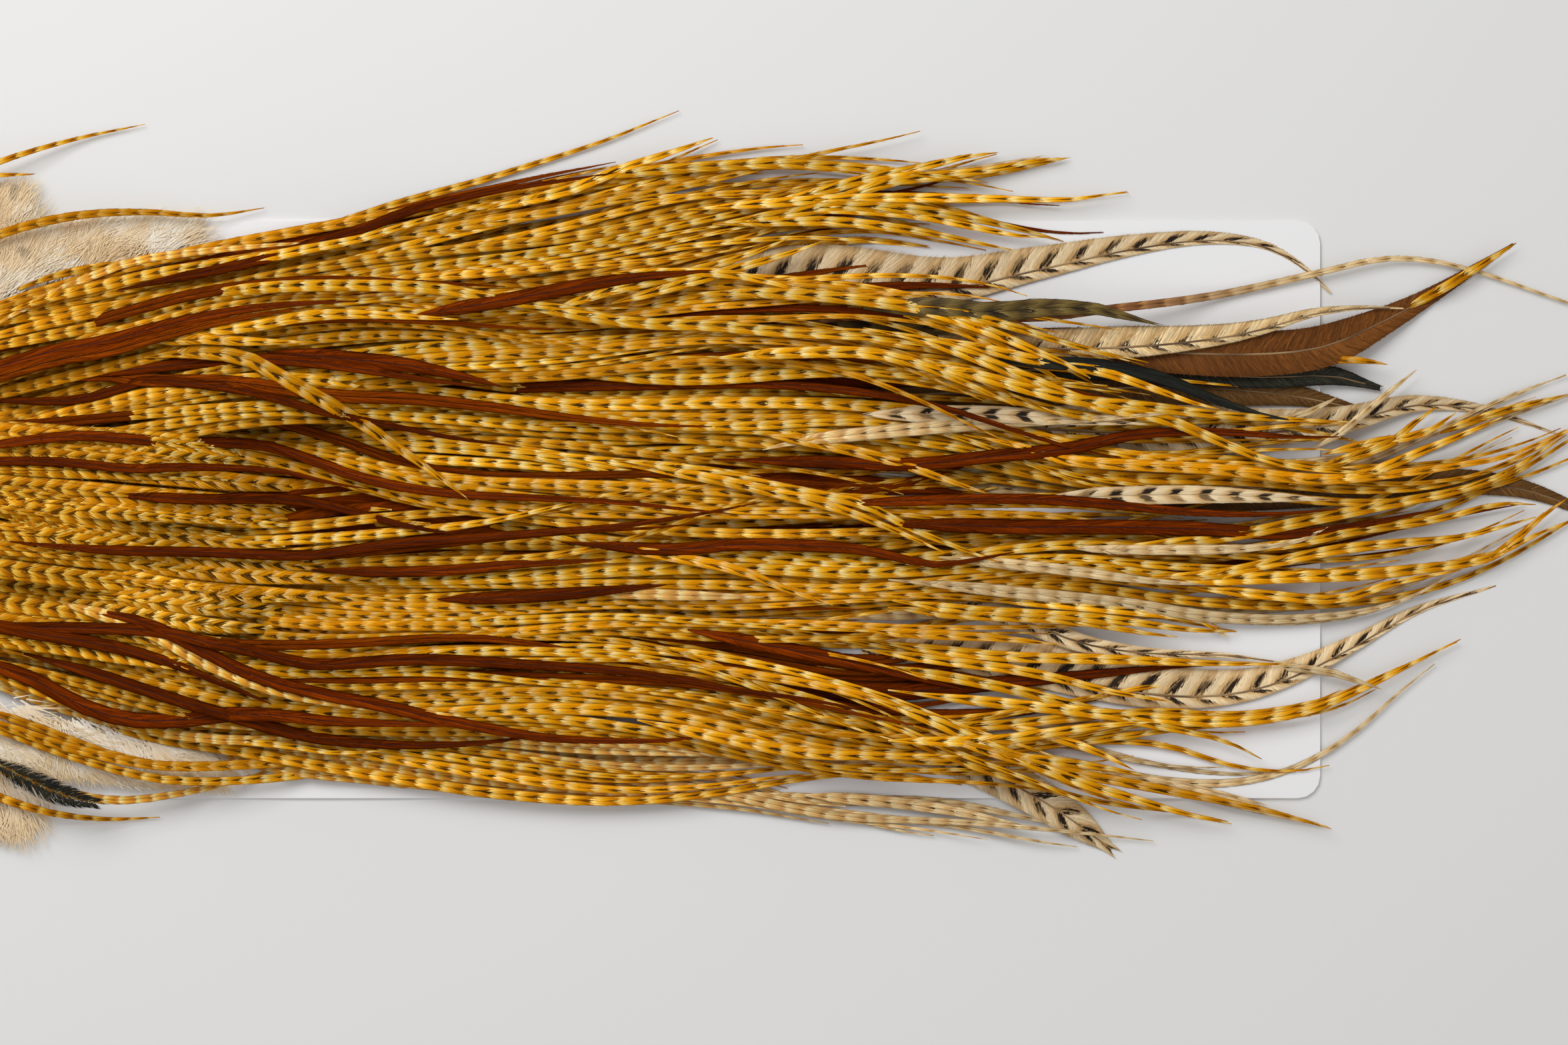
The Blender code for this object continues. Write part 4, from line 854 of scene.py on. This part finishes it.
class Fields:
    """What the feathers' materials read: places on the vane and streaks that follow the barbs."""

    def __init__(self, n):
        along = n.value("along")
        self.across = n.value("across")
        self.feather = n.value("feather")
        self.open = n.value("open")
        self.out = n.math("ABSOLUTE", self.across)
        rise = n.math("MULTIPLY_ADD", self.open, BARB_RISE_OPEN, BARB_RISE)
        line = n.math("SUBTRACT", n.math("MULTIPLY", self.out, USUAL_HALF), n.math("MULTIPLY", along, rise))
        side = n.math("MULTIPLY", n.math("SIGN", self.across), 31.0)
        vane = n.math("MULTIPLY_ADD", self.feather, 83.0, side)
        self.seat = n.math("MULTIPLY_ADD", n.value("barb"), 3.0, vane)
        slow = n.math("MULTIPLY", along, 0.11)

        def streaks(scale, detail=1.0, roughness=0.5):
            spot = n.vector(n.math("MULTIPLY", line, scale), slow, self.seat)
            return n.noise(spot, 1.0, detail, roughness)

        self.streak = streaks(7.0, 3.0, 0.65)
        self.coarse = streaks(2.6)
        self.fine = streaks(11.0)
        self.drift = n.noise(n.vector(n.math("MULTIPLY", along, 0.025), self.seat), 1.0, 1.0)


def ragged_bars(n, f, chevron, jitter):
    """The count of bars along the vane. They come later towards its edge, and the barbs make them ragged."""
    lag = n.product(f.out, n.math("MULTIPLY_ADD", f.open, 0.45, chevron))
    count = n.math("SUBTRACT", n.value("bars"), lag)
    for noise, share in ((f.streak, 1.0), (f.coarse, 0.8), (f.fine, 0.7)):
        count = n.math("MULTIPLY_ADD", n.centred(noise), jitter * share, count)
    # far enough from zero to stay above it
    return n.math("ADD", count, 40.0)


def blotch(n, f, phase, start, width):
    """A dark blotch on each vane, from near the stem outwards."""
    out = n.math("MULTIPLY_ADD", n.centred(f.coarse), 0.7, f.out)
    return n.product(
        n.ease(phase, start, start + 0.14), n.ease(phase, 0.92, 1.0, 1.0, 0.0),
        n.ease(out, 0.02, 0.12), n.ease(out, width - 0.15, width + 0.15, 1.0, 0.0),
    )


def dash(n, f, phase, start, width):
    """A dark dash along the stem that widens up to the next light band."""
    lean = n.product(n.centred(f.feather), 0.5)
    near = n.math("ABSOLUTE", n.math("ADD", f.across, lean))
    wide = n.product(n.ease(phase, start, 0.97), n.math("MULTIPLY_ADD", f.open, 0.45, width))
    wide = n.math("MULTIPLY_ADD", n.centred(f.coarse), 0.45, wide)
    return n.product(
        n.ease(n.math("SUBTRACT", wide, near), -0.02, 0.04), n.ease(phase, start - 0.05, start + 0.12),
        n.ease(f.fine, 0.50, 0.64, 1.0, 0.5),
    )


def vane_light(n, f, low, high, edge):
    """Light and dark over a barred vane: streaks, painted shade in the groove at the stem and at the edge,
    and each feather's own tone.
    """
    own = n.math("FRACT", n.product(f.feather, 7.3))
    return n.product(
        # painted shade: darker in the groove at the stem and towards the edge, where the feathers meet
        n.ease(f.streak, 0.28, 0.72, low, high), n.ease(f.out, 0.0, 0.10, 0.55, 1.0),
        n.ease(f.out, 0.84, 1.02, 1.0, edge), n.ease(f.drift, 0.3, 0.7, 0.85, 1.12),
        n.ease(own, 0.0, 1.0, 0.86, 1.14),
    )


def barred(name, roughness, stops, edge, dark, chevron=0.12, jitter=0.56, sheen=WHITE_SHEEN, deep_stops=None,
           toned_stops=None, blotched=False):
    """Bars across both vanes: a light one that starts abruptly, and a dark dash or blotch at its end.

    dark gives where along a bar the dash starts and how wide it gets. The other stops take over with tone.
    """
    n = Nodes(name, roughness, Specular_IOR_Level=0.2, Specular_Tint=sheen)
    f = Fields(n)
    tone = n.value("tone")
    count = ragged_bars(n, f, chevron, jitter)
    phase = n.math("FRACT", count)
    colour = n.mix(n.ease(f.out, 0.3, 0.95, 0.0, 0.3), n.ramp(phase, stops), edge)
    if deep_stops:
        # the tone takes the bars to the deep stops: real deeper colour, and painted warm shade on low hackles
        colour = n.mix(n.product(tone, 0.85), colour, n.ramp(phase, deep_stops))
        colour = n.mix(n.ease(f.feather, 0.5, 1.0, 0.0, 0.5), colour, AMBER)
    if toned_stops:
        colour = n.mix(n.product(tone, 0.9), colour, n.ramp(phase, toned_stops))
    chance = n.noise(n.vector(n.math("FLOOR", count), f.seat), 5.3, 0.0)
    if blotched:
        mark = n.product(blotch(n, f, phase, *dark), n.ease(chance, 0.22, 0.5, 0.3, 1.0))
        light = vane_light(n, f, 0.82, 1.12, 0.8)
    else:
        weaker = n.math("SUBTRACT", 1.0, n.product(tone, 0.2))
        mark = n.product(dash(n, f, phase, *dark), n.ease(chance, 0.25, 0.45, 0.3, 1.0), weaker)
        light = vane_light(n, f, 0.58, 1.3, 0.42)
    n.bump(f.streak, 0.0001, 0.3)
    # the colour is multiplied by vane_light, which holds the painted shade at the stem groove and the edges
    return n.finish(n.shade(n.mix(mark, colour, DARK), light))


def plain(name, roughness, first, second, stem, stem_width=0.10, sheen=WHITE_SHEEN, grain=(0.36, 1.5),
          edge=0.35):
    """A vane of one colour that changes slowly along it, with streaks and painted sheen, painted shade at its
    edges and a dark stem line.
    """
    n = Nodes(name, roughness, Specular_IOR_Level=0.1, Specular_Tint=sheen)
    f = Fields(n)
    colour = n.mix(n.ease(f.drift, 0.35, 0.65), first, second)
    # streaks along the barbs, partly painted sheen
    colour = n.shade(colour, n.ease(f.streak, 0.28, 0.72, *grain))
    # longer streaks of painted highlight and shade
    colour = n.shade(colour, n.ease(f.coarse, 0.35, 0.65, 0.8, 1.22))
    colour = n.shade(colour, n.ease(f.feather, 0.0, 1.0, 0.78, 1.25))
    # painted shade at the edge, where the feathers meet
    colour = n.shade(colour, n.ease(f.out, 0.7, 1.0, 1.0, edge))
    colour = n.mix(n.ease(f.out, stem_width, stem_width * 0.3), colour, stem)
    n.bump(f.streak, 0.00008, 0.4)
    return n.finish(colour)


def down_material():
    """White to tan down, with a few darker tips."""
    n = Nodes("down_barbs", 0.8, Specular_IOR_Level=0.1)
    reach = n.value("reach")
    place = n.node("ShaderNodeTexCoord").outputs["Object"]
    patch = n.noise(place, 90.0, 2.0)
    tip = n.mix(n.ease(n.value("feather"), 0.3, 0.9), (0.93, 0.81, 0.60), (0.84, 0.64, 0.36))
    colour = n.mix(n.ease(reach, 0.2, 0.95), (0.95, 0.88, 0.76), tip)
    colour = n.mix(n.ease(patch, 0.40, 0.62, 0.0, 0.75), colour, (0.82, 0.60, 0.33))
    dark = n.product(n.ease(n.noise(place, 210.0, 1.0), 0.62, 0.72), n.ease(reach, 0.3, 0.7), 0.45)
    colour = n.mix(dark, colour, (0.14, 0.09, 0.05))
    colour = n.shade(colour, n.ease(n.value("barb"), 0.0, 1.0, 0.9, 1.05))
    return n.finish(colour)


def stem_material():
    n = Nodes("feather_stem", 0.35)
    drift = n.noise(n.vector(n.value("along")), 0.05)
    colour = n.mix(n.ease(drift, 0.4, 0.6), (0.10, 0.05, 0.02), (0.35, 0.22, 0.10))
    return n.finish(colour)


def hide_material():
    n = Nodes("dried_skin", 0.65)
    spot = n.node("ShaderNodeTexCoord").outputs["Object"]
    blotch = n.noise(spot, 60.0, 5.0, 0.6)
    grain = n.noise(spot, 900.0, 3.0)
    colour = n.mix(n.ease(blotch, 0.3, 0.7), (0.30, 0.17, 0.07), (0.62, 0.46, 0.27))
    n.bump(n.math("MULTIPLY_ADD", grain, 0.3, blotch), 0.0006, 0.6)
    return n.finish(colour)


def card_material():
    n = Nodes("white_board", 0.42)
    spot = n.node("ShaderNodeTexCoord").outputs["Object"]
    fibre = n.noise(spot, 1500.0, 2.0)
    colour = n.mix(n.noise(spot, 9.0, 3.0), (0.83, 0.83, 0.84), (0.88, 0.88, 0.885))
    n.bump(fibre, 0.00002, 0.3)
    return n.finish(colour)


# Broad vanes: a thin stem line, softer streaks with less painted sheen, and little painted shade at the edge.
BROAD_VANE = {"stem_width": 0.03, "grain": (0.8, 1.16), "edge": 0.85}
MATERIALS = {
    "gold": barred(
        "gold_barred", 0.5, GOLD_STOPS, GOLD, (0.34, 0.36), deep_stops=DEEP_STOPS, sheen=GOLD_SHEEN,
    ),
    "cream": barred(
        "cream_barred", 0.55, CREAM_STOPS, (0.66, 0.47, 0.24), (0.55, 0.15), toned_stops=GOLD_STOPS,
    ),
    "rust": barred("rust_barred", 0.55, CREAM_STOPS, (0.62, 0.42, 0.19), (0.5, 0.2), toned_stops=RUST_STOPS),
    "grizzly": barred(
        "grizzly_barred", 0.6, GRIZZLY_STOPS, (0.80, 0.60, 0.34), (0.52, 0.66), 0.3, 0.3, blotched=True,
    ),
    "olive": barred("olive_barred", 0.55, OLIVE_STOPS, (0.17, 0.10, 0.02), (0.45, 0.4), 0.4),
    "brown": plain("red_brown", 0.62, RED_BROWN, DEEP_BROWN, (0.03, 0.012, 0.013), sheen=BROWN_SHEEN),
    "orange": plain("orange_brown", 0.62, ORANGE_BROWN, RED_BROWN, (0.012, 0.006, 0.004), sheen=BROWN_SHEEN),
    "dark_brown": plain(
        "dark_brown_vane", 0.5, (0.095, 0.030, 0.005), (0.160, 0.055, 0.010), (0.20, 0.10, 0.05),
        **BROAD_VANE,
    ),
    "tan_brown": plain(
        "tan_brown_vane", 0.5, (0.125, 0.056, 0.013), (0.20, 0.095, 0.028), (0.25, 0.14, 0.06), **BROAD_VANE,
    ),
    "black": plain("black_vane", 0.35, (0.012, 0.013, 0.011), (0.032, 0.03, 0.018), (0.02, 0.02, 0.02), 0.05),
    "down": down_material(),
    "stem": stem_material(),
}

# Where the rows of places run along a vane, from -1 at its right edge to 1 at its left one.
HACKLE_SHARES = np.array([-1, -0.62, -0.25, 0, 0.25, 0.62, 1])
VANE_SHARES = np.array([-1, -0.6, -0.25, -0.04, 0.04, 0.25, 0.6, 1])


def redness(places):
    """How far a place lies in the deeper coloured parts, near the skin and at the tips."""
    return 1 - ease(places[..., 0], -92, -28) + 0.5 * ease(places[..., 0], 110, 200)


def goldness(places):
    """How golden the cream hackles still are: all of it near the skin, none at the tips."""
    return 1 - ease(places[..., 0], -10, 125)


def rustiness(places):
    """How rusty the thin feather at the right still is."""
    return 1 - ease(places[..., 0], 130, 178)


TONES = {"cream": goldness, "rust": rustiness}
TONED_PERIOD = 3.9  # between the bars of those looks


def hackle_halves(along, half):
    """A hackle's half width: narrow at the root, even along most of it and tapered to a fine tip."""
    length = along[-1]
    grown = 0.12 + 0.88 * ease(along, 0, 0.18 * length)
    fined = np.clip((length - along) / min(95.0, 0.45 * length), 0, 1) ** 0.66
    return half * grown * np.maximum(fined, 0.08)


def add_hackle(coat, path, heights, half, look, openness=0.0, period=5.0, painted_shade=0.0):
    """One hackle. The barbs of an open one stand farther out, are wider and lie closer."""
    halves = hackle_halves(lengths_along(path), half)
    period = (TONED_PERIOD if look in TONES else period) * rng.uniform(0.92, 1.08)
    toned = TONES.get(look, redness)
    feather = Feather(
        coat.next_band(), path, heights, halves, halves, 0.17, period, roll=rng.uniform(-0.09, 0.09),
        # the tone is raised to the painted shade of a low hackle, which takes its bars towards the deep
        # colours
        tone=lambda places: np.maximum(toned(places), painted_shade), openness=openness,
    )
    add_vanes(coat, feather, look, 5.0, HACKLE_SHARES)
    tight = 6 + 28 * openness
    add_barbs(
        coat, feather, look, spacing=2.0 - openness, width=0.12 + 0.12 * openness,
        sweep=lambda root: tight + 14 * (1 - ease(root, 0, 30)), lift=0.04 + 0.1 * openness, ragged=0.10,
        stations=3,
    )


LOW_PAINTED_SHADE = 0.65  # how far the low golden hackles, under the others, take on the deep colours: painted warm shade
HACKLE_PITCH = 1.78  # between the stems of the hackles that lie side by side on top of a lock
LOCK_OVERHANG = 1.6  # how far the lowest hackles lie past a lock's half width


# Painted warm shade for the golden hackles that lie low, under the others.
def painted_under_shade(look, low):
    return LOW_PAINTED_SHADE if look == "gold" and low else 0.0


def lock_places(half):
    """Where a lock's hackles lie, lowest first: (place across it, layer from 0 at the bottom to 1 on top)."""
    top = max(2, int(round(2 * half / HACKLE_PITCH)))
    places = [(share * (half + LOCK_OVERHANG), 0.0) for share in np.linspace(-1, 1, top + 1)]
    reach = (top - 1) * HACKLE_PITCH / 2
    for index, share in enumerate(np.linspace(-1, 1, top)):
        places.append((share * reach, 0.72 + 0.28 * (index % 2)))
    return places


def pick_look(dress, layer):
    """A lock's own dress, or another one that is mixed in with it."""
    if dress == "brown":
        return rng.choice(["gold", "gold", "gold", "gold", "orange"])
    if dress == "gold" and rng.random() < (0.14 if layer < 0.5 else 0.02):
        return rng.choice(["brown", "brown", "orange", "orange", "cream"])
    return dress


def lock_feathers(coat, node, half, dress, path, places, size, end_range=(0.72, 0.98)):
    """Fills one lock's place with single hackles, from the lowest to the highest.

    One of them runs to the lock's own tip. The others end before it and stray a little near their tips.
    """
    base = smooth_path(path)
    ways = side_ways(base)
    along = lengths_along(base)
    tops = smoothed(heights_over(tree_of([node]), base, 2.0), 8)
    longest = rng.integers(len(places))
    for rank, (place, layer) in enumerate(places):
        end = 1.0 if rank == longest else rng.uniform(*end_range)
        start = 0.0 if rank == 0 else rng.uniform(0, 18) / along[-1]
        part = slice(int(start * len(base)), int(end * len(base)))
        here = along[part]
        offset = (place + rng.uniform(-0.35, 0.35)) * (0.7 + 0.3 * ease(here, 0, 80))
        wave = 2 * np.pi * here / rng.uniform(80, 170) + rng.uniform(0, 6.3)
        offset = offset + rng.uniform(0.5, 1.4) * np.sin(wave)
        leave = ease(here, here[-1] - 60, here[-1]) ** 1.5
        offset = offset + leave * rng.normal(0, 2.6) if end < 1 else offset * (1 - leave)
        spine = base[part] + ways[part] * offset[:, None]
        heights = np.maximum(tops[part] - 1.25 + 0.95 * layer - 0.08 * np.abs(place), CLEARANCE)
        width = size * rng.uniform(0.88, 1.12)
        look = pick_look(dress, layer)
        add_hackle(coat, spine, heights, width, look, painted_shade=painted_under_shade(look, layer < 0.5))


TIP_SIZE = 0.84  # of the loose feathers, against the half widths in the list
NEIGHBOUR = 2.4  # how far to each side a single feather rides over what lies there


def add_single(coat, look, half, points, rise=0.9):
    """One feather on top of the pile, with its root sunk between the others."""
    path = smooth_path(points)
    tops = heights_over(EVERY_SOLID, path, 1.0)
    for shift in (-NEIGHBOUR, NEIGHBOUR):
        tops = np.maximum(tops, heights_over(EVERY_SOLID, path + shift * side_ways(path), 1.0))
    tops = np.maximum(smoothed(tops, 10), smoothed(tops, 25)) + rise
    sink = (CLEARANCE + rise) * (1 - ease(lengths_along(path), 0, 11))
    add_hackle(coat, path, np.maximum(tops - sink, CLEARANCE), half, look)


def build_tips():
    """The loose feathers and tips around the locks."""
    for name, tips in TIPS.items():
        coat = Coat(len(tips))
        for look, half, points in tips:
            add_single(coat, look, TIP_SIZE * half, points)
        coat.piece(name)


def build_under_feathers():
    """The low feathers that fill the gaps under the locks, spread between the paths of two of them."""
    coat = Coat(UNDER_COUNT + len(LOW_FEATHERS))
    paths = {name: path for name, _, _, path in LOCKS}
    upper, lower = [resampled(paths[name], 12) for name in UNDER_EDGES]
    for index in range(UNDER_COUNT):
        share = (index + 0.5) / UNDER_COUNT
        path = smooth_path(upper * share + lower * (1 - share) + rng.normal(0, 0.7, (12, 2)) * [0, 1])
        path = path[: int(len(path) * rng.uniform(0.66, 0.9))]
        look = rng.choice(["gold", "gold", "orange", "brown", "orange"])
        heights = np.full(len(path), rng.uniform(1.1, 2.4))
        add_hackle(coat, path, heights, 2.5, look, painted_shade=painted_under_shade(look, True))
    for look, half, points in LOW_FEATHERS:
        path = smooth_path(points)
        add_hackle(coat, path, np.full(len(path), 2.0), half, look)
    coat.piece("under_feathers")


def add_black_base(coat):
    """The fuzzy black base of one low feather at the left."""
    path = smooth_path(BLACK_BASE)
    along = lengths_along(path)
    halves = 2.0 * np.sqrt(np.sin(np.pi * np.clip(along / along[-1], 0.06, 0.94)))
    heights = smoothed(heights_over(EVERY_SOLID, path, 1.0), 8) + 0.8
    feather = Feather(coat.next_band(), path, heights, halves, halves, 0.1, 5.0)
    add_barbs(
        coat, feather, "black", spacing=0.10, width=0.08, lift=0.5, ragged=0.5,
        sweep=lambda root: np.full(len(root), 28.0),
    )


FORK_PLACES = [(0.6, 0.3), (-0.6, 0.9)]  # of a fork's two hackles, across it and in its layers


def lock_size(name, half):
    """The half width of a lock's hackles."""
    if name in SPARSE:
        return 0.88
    return 1.1 if half > 2 else 1.0


def build_locks():
    """The hackles in each lock's place, its fork's hackles, and the single feathers on top of it."""
    for name, half, dress, path in LOCKS:
        size = lock_size(name, half)
        places = lock_places(half)
        forked = FORK_PLACES if name in FORKS else []
        if name in SPARSE:
            places = places[-SPARSE[name]:]
            forked = forked[:1]
        singles = [single[1:] for single in SINGLES if single[0] == name]
        coat = Coat(len(places) + len(forked) + len(singles) + 1)
        lock_feathers(coat, name, half, dress, path, places, size)
        if forked:
            lock_feathers(coat, name, half, dress, FORKS[name], forked, size, (0.8, 0.95))
        for look, width, points in singles:
            add_single(coat, look, width, points, 2.0 if look == "gold" else 1.1)
        if name == "lock_black_based":
            add_black_base(coat)
        coat.piece(name + "_feathers", name)


CROWN_COUNT = 26  # feathers on each crown lock
CROWN_OPENNESS = 0.55
CROWN_PERIOD = 4.6


def build_tops():
    """The short open feathers near the skin, which lie like shingles and whose barbs make the chevrons."""
    places = np.linspace(-1, 1, 5)
    for name, half, path in TOP_LOCKS:
        coat = Coat(CROWN_COUNT)
        ahead = (np.array(path[-1]) - path[-2]) * [1, 0.4]
        base = smooth_path([*path, path[-1] + ahead, path[-1] + 2.2 * ahead])
        ways = side_ways(base)
        along = lengths_along(base)
        tops = smoothed(heights_over(EVERY_SOLID, base, 8.0), 12)
        for rank in range(CROWN_COUNT):
            place = places[(rank * 2) % len(places)] + rng.uniform(-0.14, 0.14)
            share = rank / (CROWN_COUNT - 1)
            start = int((1 - share) * 0.5 * len(base))
            end = int((1.0 - 0.5 * share - rng.uniform(0, 0.2)) * len(base))
            part = slice(start, end)
            offset = place * (half + 0.6) * (0.5 + 0.5 * ease(along[part], 0, 40))
            spine = base[part] + ways[part] * offset[:, None]
            heights = tops[part] - 0.6 + 1.5 * share - 0.4 * np.abs(place)
            add_hackle(coat, spine, heights, rng.uniform(1.75, 2.1), "gold", CROWN_OPENNESS, CROWN_PERIOD)
        coat.piece(name + "_feathers", name)


# The forms of the broad feathers: shares along them, and half widths there.
VANE_FORMS = {
    "tapered": ([0, 0.2, 0.4, 0.62, 0.78, 0.9, 1], [0.4, 0.9, 1, 0.6, 0.3, 0.14, 0.03]),
    "leaf": ([0, 0.25, 0.5, 0.7, 0.85, 0.94, 1], [0.25, 0.75, 1, 0.9, 0.45, 0.2, 0.03]),
    "blunt": ([0, 0.4, 0.7, 0.9, 1], [0.3, 0.8, 1, 0.85, 0.15]),
    "long_tip": ([0, 0.25, 0.5, 0.68, 0.76, 0.83, 0.92, 1], [0.25, 0.75, 0.95, 0.85, 0.56, 0.36, 0.2, 0.03]),
}
# Each broad feather's form, and how wide its left and right vanes are.
BROAD_FORMS = {
    "grizzly_feather_upper": ("tapered", 1.1, 0.45), "brown_feather_under": ("leaf", 1.0, 0.8),
    "black_feather_tip": ("blunt", 1.0, 0.9), "brown_feather_upper": ("long_tip", 0.9, 0.85),
    "cream_feather_upper": ("tapered", 1.0, 0.5), "grizzly_feather_right": ("tapered", 1.0, 0.6),
    "brown_feather_right": ("leaf", 0.9, 0.8), "barred_feather_lower": ("blunt", 0.95, 0.9),
    "grizzly_feather_lower": ("tapered", 1.1, 0.45), "barred_feather_right": ("tapered", 0.9, 0.9),
}


def build_broad():
    for name, half, dress, path in BROAD:
        coat = Coat(1)
        base = smooth_path(path)
        along = lengths_along(base)
        length = along[-1]
        tops = smoothed(heights_over(tree_of([name]), base, 1.0), 8)
        form, left, right = BROAD_FORMS[name]
        halves = half * smoothed(np.interp(along / length, *VANE_FORMS[form]), 6)
        feather = Feather(
            coat.next_band(), base, tops - 0.4, halves * left, halves * right, 0.12, rng.uniform(4.6, 5.2),
            cup=0.06, openness=1.0,
        )
        add_vanes(coat, feather, dress, 3.0, VANE_SHARES)
        add_barbs(
            coat, feather, dress, spacing=0.38, width=0.17, lift=0.1, ragged=0.08,
            sweep=lambda root: 46 - 24 * ease(root, length * 0.6, length),
        )
        add_stem(coat, feather, base=0.42, tip=0.12, lift=0.1)
        coat.piece(name + "_vanes", name)


DOWN_TUFTS = 48  # in each plume
DOWN_BARBS = 80  # in each tuft
DOWN_STATIONS = 5
GOLDEN_STEP = 0.618  # spreads the tufts evenly across a plume


def plume_trim(share):
    """How much of its width a plume keeps, from its root to its tip."""
    return 1 - 0.6 * share**1.5


def add_tuft(coat, base, tops, half, outer, seat, middle):
    """A small fan of fine long barbs that lean outwards and curl a little.

    outer is the side that they lean to. seat and middle are its place along and across the plume, as shares.
    """
    along = lengths_along(base)
    length = along[-1]
    ways = side_ways(base)
    q = np.linspace(0, 1, DOWN_STATIONS)[None, :]
    seat = seat * length + rng.normal(0, 1.6, DOWN_BARBS)
    middle = middle * half + rng.normal(0, 1.1, DOWN_BARBS)
    lean = np.radians(rng.normal(34, 12) + rng.normal(0, 15, DOWN_BARBS))[:, None]
    angle = lean + rng.normal(0.1, 0.25, DOWN_BARBS)[:, None] * q
    reach = rng.uniform(5.0, 10.5, DOWN_BARBS)
    outline = half * plume_trim(np.clip(seat / length + 0.1, 0, 1)) * rng.uniform(0.75, 1.05, DOWN_BARBS)
    room = np.maximum(outline - middle, 0.8) / np.maximum(np.sin(angle).max(1), 0.25)
    ahead = np.maximum(length + rng.uniform(-2.0, 4.0, DOWN_BARBS) - seat, 0.8)
    ahead = ahead / np.maximum(np.cos(angle).max(1), 0.25)
    step = np.minimum(np.minimum(reach, room), ahead)[:, None] / (DOWN_STATIONS - 1)
    place = seat[:, None] + np.cumsum(np.cos(angle) * step, 1)
    sideways = middle[:, None] + np.cumsum(np.sin(angle) * step, 1)
    past = np.maximum(place - length, 0) + np.minimum(place, 0)
    stem = between(place, along, base)
    way = between(place, along, ways)
    forward = np.stack([way[..., 1], -way[..., 0]], -1)
    centre = stem + way * outer * sideways[..., None] + forward * past[..., None]
    height = np.interp(place, along, tops) - 0.6 + rng.uniform(0, 0.6)
    height = height + rng.uniform(0.0, 0.45, DOWN_BARBS)[:, None] * q
    height = np.maximum(height - 0.8 * (np.abs(sideways) / half) ** 2, CLEARANCE)
    turn = outer * angle[..., None]
    over = way * np.cos(turn) - forward * np.sin(turn)
    wide = (0.13 * (1 - 0.8 * q))[..., None]
    pair = np.stack([centre - over * wide, centre + over * wide], 2)
    places = np.concatenate([pair, np.repeat(height[:, :, None, None], 2, 2)], -1)
    low, high = coat.next_band()
    row = rng.uniform(low, high, DOWN_BARBS)[:, None]
    spot = np.stack(np.broadcast_arrays(0.02 + 0.96 * q, row), -1)
    coat.add(
        places, strip_faces(DOWN_BARBS, DOWN_STATIONS), "down", np.repeat(spot[:, :, None], 2, 2),
        reach=q[..., None], feather=rng.random(), along=place[..., None],
        barb=rng.random(DOWN_BARBS)[:, None, None],
    )


def build_down():
    """The fluff: a soft cover with many tufts in its place."""
    for name, half, path in DOWN:
        coat = Coat(DOWN_TUFTS + 1)
        outer = -1 if "lower" in name else 1
        base = smooth_path(path)
        share = lengths_along(base) / lengths_along(base)[-1]
        tops = smoothed(heights_over(tree_of([name]), base, 2.0), 6)
        halves = half * 0.8 * np.sqrt(np.sin(np.pi * np.clip(share, 0.02, 0.98)))
        left, right = (halves * plume_trim(share), halves)[::outer]
        cover = Feather(coat.next_band(), base, tops - 1.2, left, right, 0.0, 5.0, cup=-0.12)
        add_vanes(coat, cover, "down", 3.0, np.linspace(-1, 1, 9))
        for index in range(DOWN_TUFTS):
            seat = -0.08 + 1.0 * (index + rng.random()) / DOWN_TUFTS
            middle = -1.0 + 1.35 * ((index * GOLDEN_STEP + rng.uniform(0, 0.12)) % 1)
            add_tuft(coat, base, tops, half, outer, seat, middle)
        coat.piece(name + "_barbs", name)


def dress_solids():
    for node, made in (("backing_card", card_material()), ("saddle_skin", hide_material())):
        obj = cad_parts[node]
        obj.data.materials.clear()
        obj.data.materials.append(made)


def build_floor():
    bpy.ops.mesh.primitive_plane_add(size=4.0, location=PILE_MIDDLE)
    floor = bpy.context.object
    floor.name = "floor"
    floor.data.materials.append(Nodes("pale_floor", 0.6).finish((0.76, 0.76, 0.755)))


def build_lights():
    """A bright room, a large soft window light and a weak light opposite."""
    world = bpy.data.worlds.new("soft_room")
    world.use_nodes = True
    background = world.node_tree.nodes["Background"]
    background.inputs["Color"].default_value = (1.0, 0.985, 0.965, 1)
    background.inputs["Strength"].default_value = 0.45
    bpy.context.scene.world = world
    for name, place, size, energy in (
        ("window_light", (-0.35, 0.55, 0.75), 0.6, 7.0),
        ("fill_light", (0.7, -0.5, 0.9), 0.9, 1.0),
    ):
        data = bpy.data.lights.new(name, "AREA")
        data.size = size
        data.energy = energy
        light = bpy.data.objects.new(name, data)
        light.location = place
        light.rotation_euler = (Vector(PILE_MIDDLE) - Vector(place)).to_track_quat("-Z", "Y").to_euler()
        bpy.context.scene.collection.objects.link(light)


def build_camera():
    data = bpy.data.cameras.new("photo_camera")
    data.lens = LENS
    data.sensor_width = SENSOR
    data.sensor_fit = "HORIZONTAL"
    camera = bpy.data.objects.new("photo_camera", data)
    camera.location = (*mm(VIEW_CENTRE), float(mm(VIEW_WIDTH)) * LENS / SENSOR + VIEW_LEVEL)
    bpy.context.scene.collection.objects.link(camera)
    bpy.context.scene.camera = camera


bpy.context.scene.view_settings.view_transform = "Standard"
build_camera()
build_floor()
build_lights()
dress_solids()
build_down()
build_broad()
build_locks()
build_tips()
build_under_feathers()
build_tops()

bpy.context.view_layer.update()
